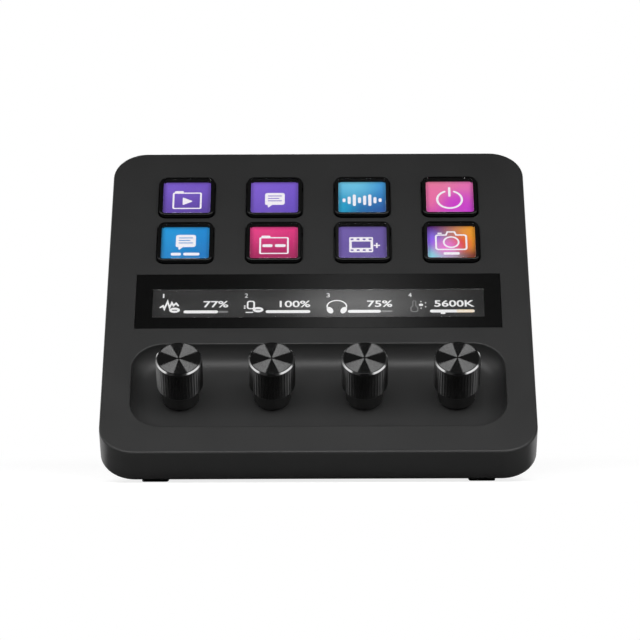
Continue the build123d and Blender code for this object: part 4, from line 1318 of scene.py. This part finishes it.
def microphone_sign():
    """A microphone drawn in line over its foot, with a badge at its lower right."""
    capsule = [box_outline(-0.9, 0.8, 2.7, 3.9, 1.0), box_outline(-0.9, 0.8, 1.6, 2.9, 0.5)]
    foot = [stroke_outline([(-2.4, -2.6), (-0.3, -2.6)], 0.45)]
    dots = [[disc_outline(-2.9, rise, 0.3)] for rise in (0.3, -0.6)]
    return [capsule, foot, *dots, *badge(1.5, -1.4)]


def slant_matrix(degrees):
    """Turns an outline by an angle, when the outline is multiplied by it."""
    angle = math.radians(degrees)
    return np.array(((math.cos(angle), math.sin(angle)), (-math.sin(angle), math.cos(angle))))


def headphones_sign():
    """A head band over two slanted ear cups."""
    arc = arc_path(0, 0, 3.2, -8, 188, 36) * (1.0, 0.86)
    cups = [[disc_outline(0, 0, 1.0, squash=1.55) @ slant + (side * 2.25, -1.75)]
            for side, slant in ((-1, slant_matrix(22)), (1, slant_matrix(-22)))]
    return [[stroke_outline(arc, 0.45)], *cups]


def lamp_sign():
    """A bulb drawn in line: the right side of its edge and of its hole, each mirrored to the left."""
    right_side = np.array([(1.3, -2.7), (1.3, -0.6), (0.65, 0.2), (0.65, 2.6)])
    right_inside = np.array([(0.95, -2.35), (0.95, -0.7), (0.35, 0.1), (0.35, 2.3)])
    outlines = []
    for side, rounds in ((right_side, [0.9, 0.5, 0.3, 0.5]), (right_inside, [0.6, 0.3, 0.2, 0.3])):
        corners = np.vstack((side, side[::-1] * (-1, 1)))
        outlines.append(rounded_path(corners, rounds + rounds[::-1], 4, closed=True))
    return [outlines]


def glow_sign():
    """A spot with small rays around it."""
    rays = [[disc_outline(x, y, 0.22)] for x, y in ((0, 1.5), (0, -1.5), (1.5, 0.9), (1.5, -0.9))]
    return [[disc_outline(0, 0, 0.72, squash=0.8)], *rays]


print("outlines of the microphone:", sum(len(shape) for shape in microphone_sign()))

# %% [markdown]
# ### The four cells
#
# Each cell has its channel number on top, its sign on the left, and its level as a number over a bar.
# The bar is white up to the level and grey beyond it, and the last one, for a lamp's warmth, ends in
# amber. All pieces of one ink become one mesh.

# %% Lay out the four cells
cell_pitch = 27.05
cells_left = -54.3
bar_start, bar_end, bar_y = 9.9, 24.6, -3.5
bar_height, rest_height, rest_gap = 1.3, 0.8, 0.1
number_y, number_height = -1.5, 3.0
title_x, title_y, title_height = 2.9, 3.05, 1.85
title_one, title_wide = 0.5, 1.1
sign_y = -1.2
glow_x, glow_rise = 7.0, 0.6
amber_length = 6.0
marker_x, marker_drop = 14.2, 0.95
lamp_number = "5600K"


def ink_parts(shapes, x=0.0, y=0.0):
    """Plates of ink for the shapes, moved to a place on the screen."""
    return flat_parts([[outline + (x, y) for outline in shape] for shape in shapes], ink_low, ink_high)


def bar_parts(start, end, height, corner):
    """A bar between two places along the screen."""
    return ink_parts([[box_outline((start + end) / 2, bar_y, end - start, height, corner)]])


# A cell: its number and the number's width, the share of its bar, its sign's place, its sign and its
# title's width.
cells = [
    ("77%", 8.2, 0.775, 5.45, wave_sign(), title_one),
    ("100%", 10.1, 1.0, 5.9, microphone_sign(), title_wide),
    ("75%", 8.3, 0.74, 6.3, headphones_sign(), title_wide),
    (lamp_number, 13.2, 1.0, 4.8, lamp_sign(), title_wide),
]
white_parts, grey_parts, amber_parts = [], [], []
for index, (number, number_width, share, sign_x, sign, title_width) in enumerate(cells):
    left = cells_left + cell_pitch * index
    filled = bar_start + (bar_end - bar_start) * share
    white_parts += bar_parts(left + bar_start, left + filled, bar_height, bar_height * 0.48)
    if share < 1:
        grey_parts += bar_parts(left + filled + rest_gap, left + bar_end, rest_height, 0.35)
    sign_parts = grey_parts if number == lamp_number else white_parts
    sign_parts += ink_parts(sign, left + sign_x, sign_y)
    number_x = left + bar_end - number_width
    white_parts.append(number_mesh(number, number_x, number_y, number_width, number_height))
    title = number_mesh(str(index + 1), left + title_x, title_y, title_width, title_height, weight=0.0)
    white_parts.append(title)
white_parts += ink_parts(glow_sign(), left + glow_x, sign_y + glow_rise)
white_parts += ink_parts([[box_outline(left + marker_x, bar_y - marker_drop, 1.6, 0.8, 0.35)]])
amber_parts += bar_parts(left + bar_end - amber_length, left + bar_end, bar_height, bar_height * 0.48)
strip_inks = {
    "strip_signs": (white_parts, lit_ink("strip_white", grey(245))),
    "strip_rests": (grey_parts, lit_ink("strip_grey", grey(128))),
    "strip_warm": (amber_parts, lit_ink("strip_amber", colour(250, 222, 176))),
}
for name, (parts, ink) in strip_inks.items():
    add_piece(name, joined(parts), screen_origin, ink, "housing")
print("inks on the strip:", {name: len(parts) for name, (parts, _) in strip_inks.items()})

# %% [markdown]
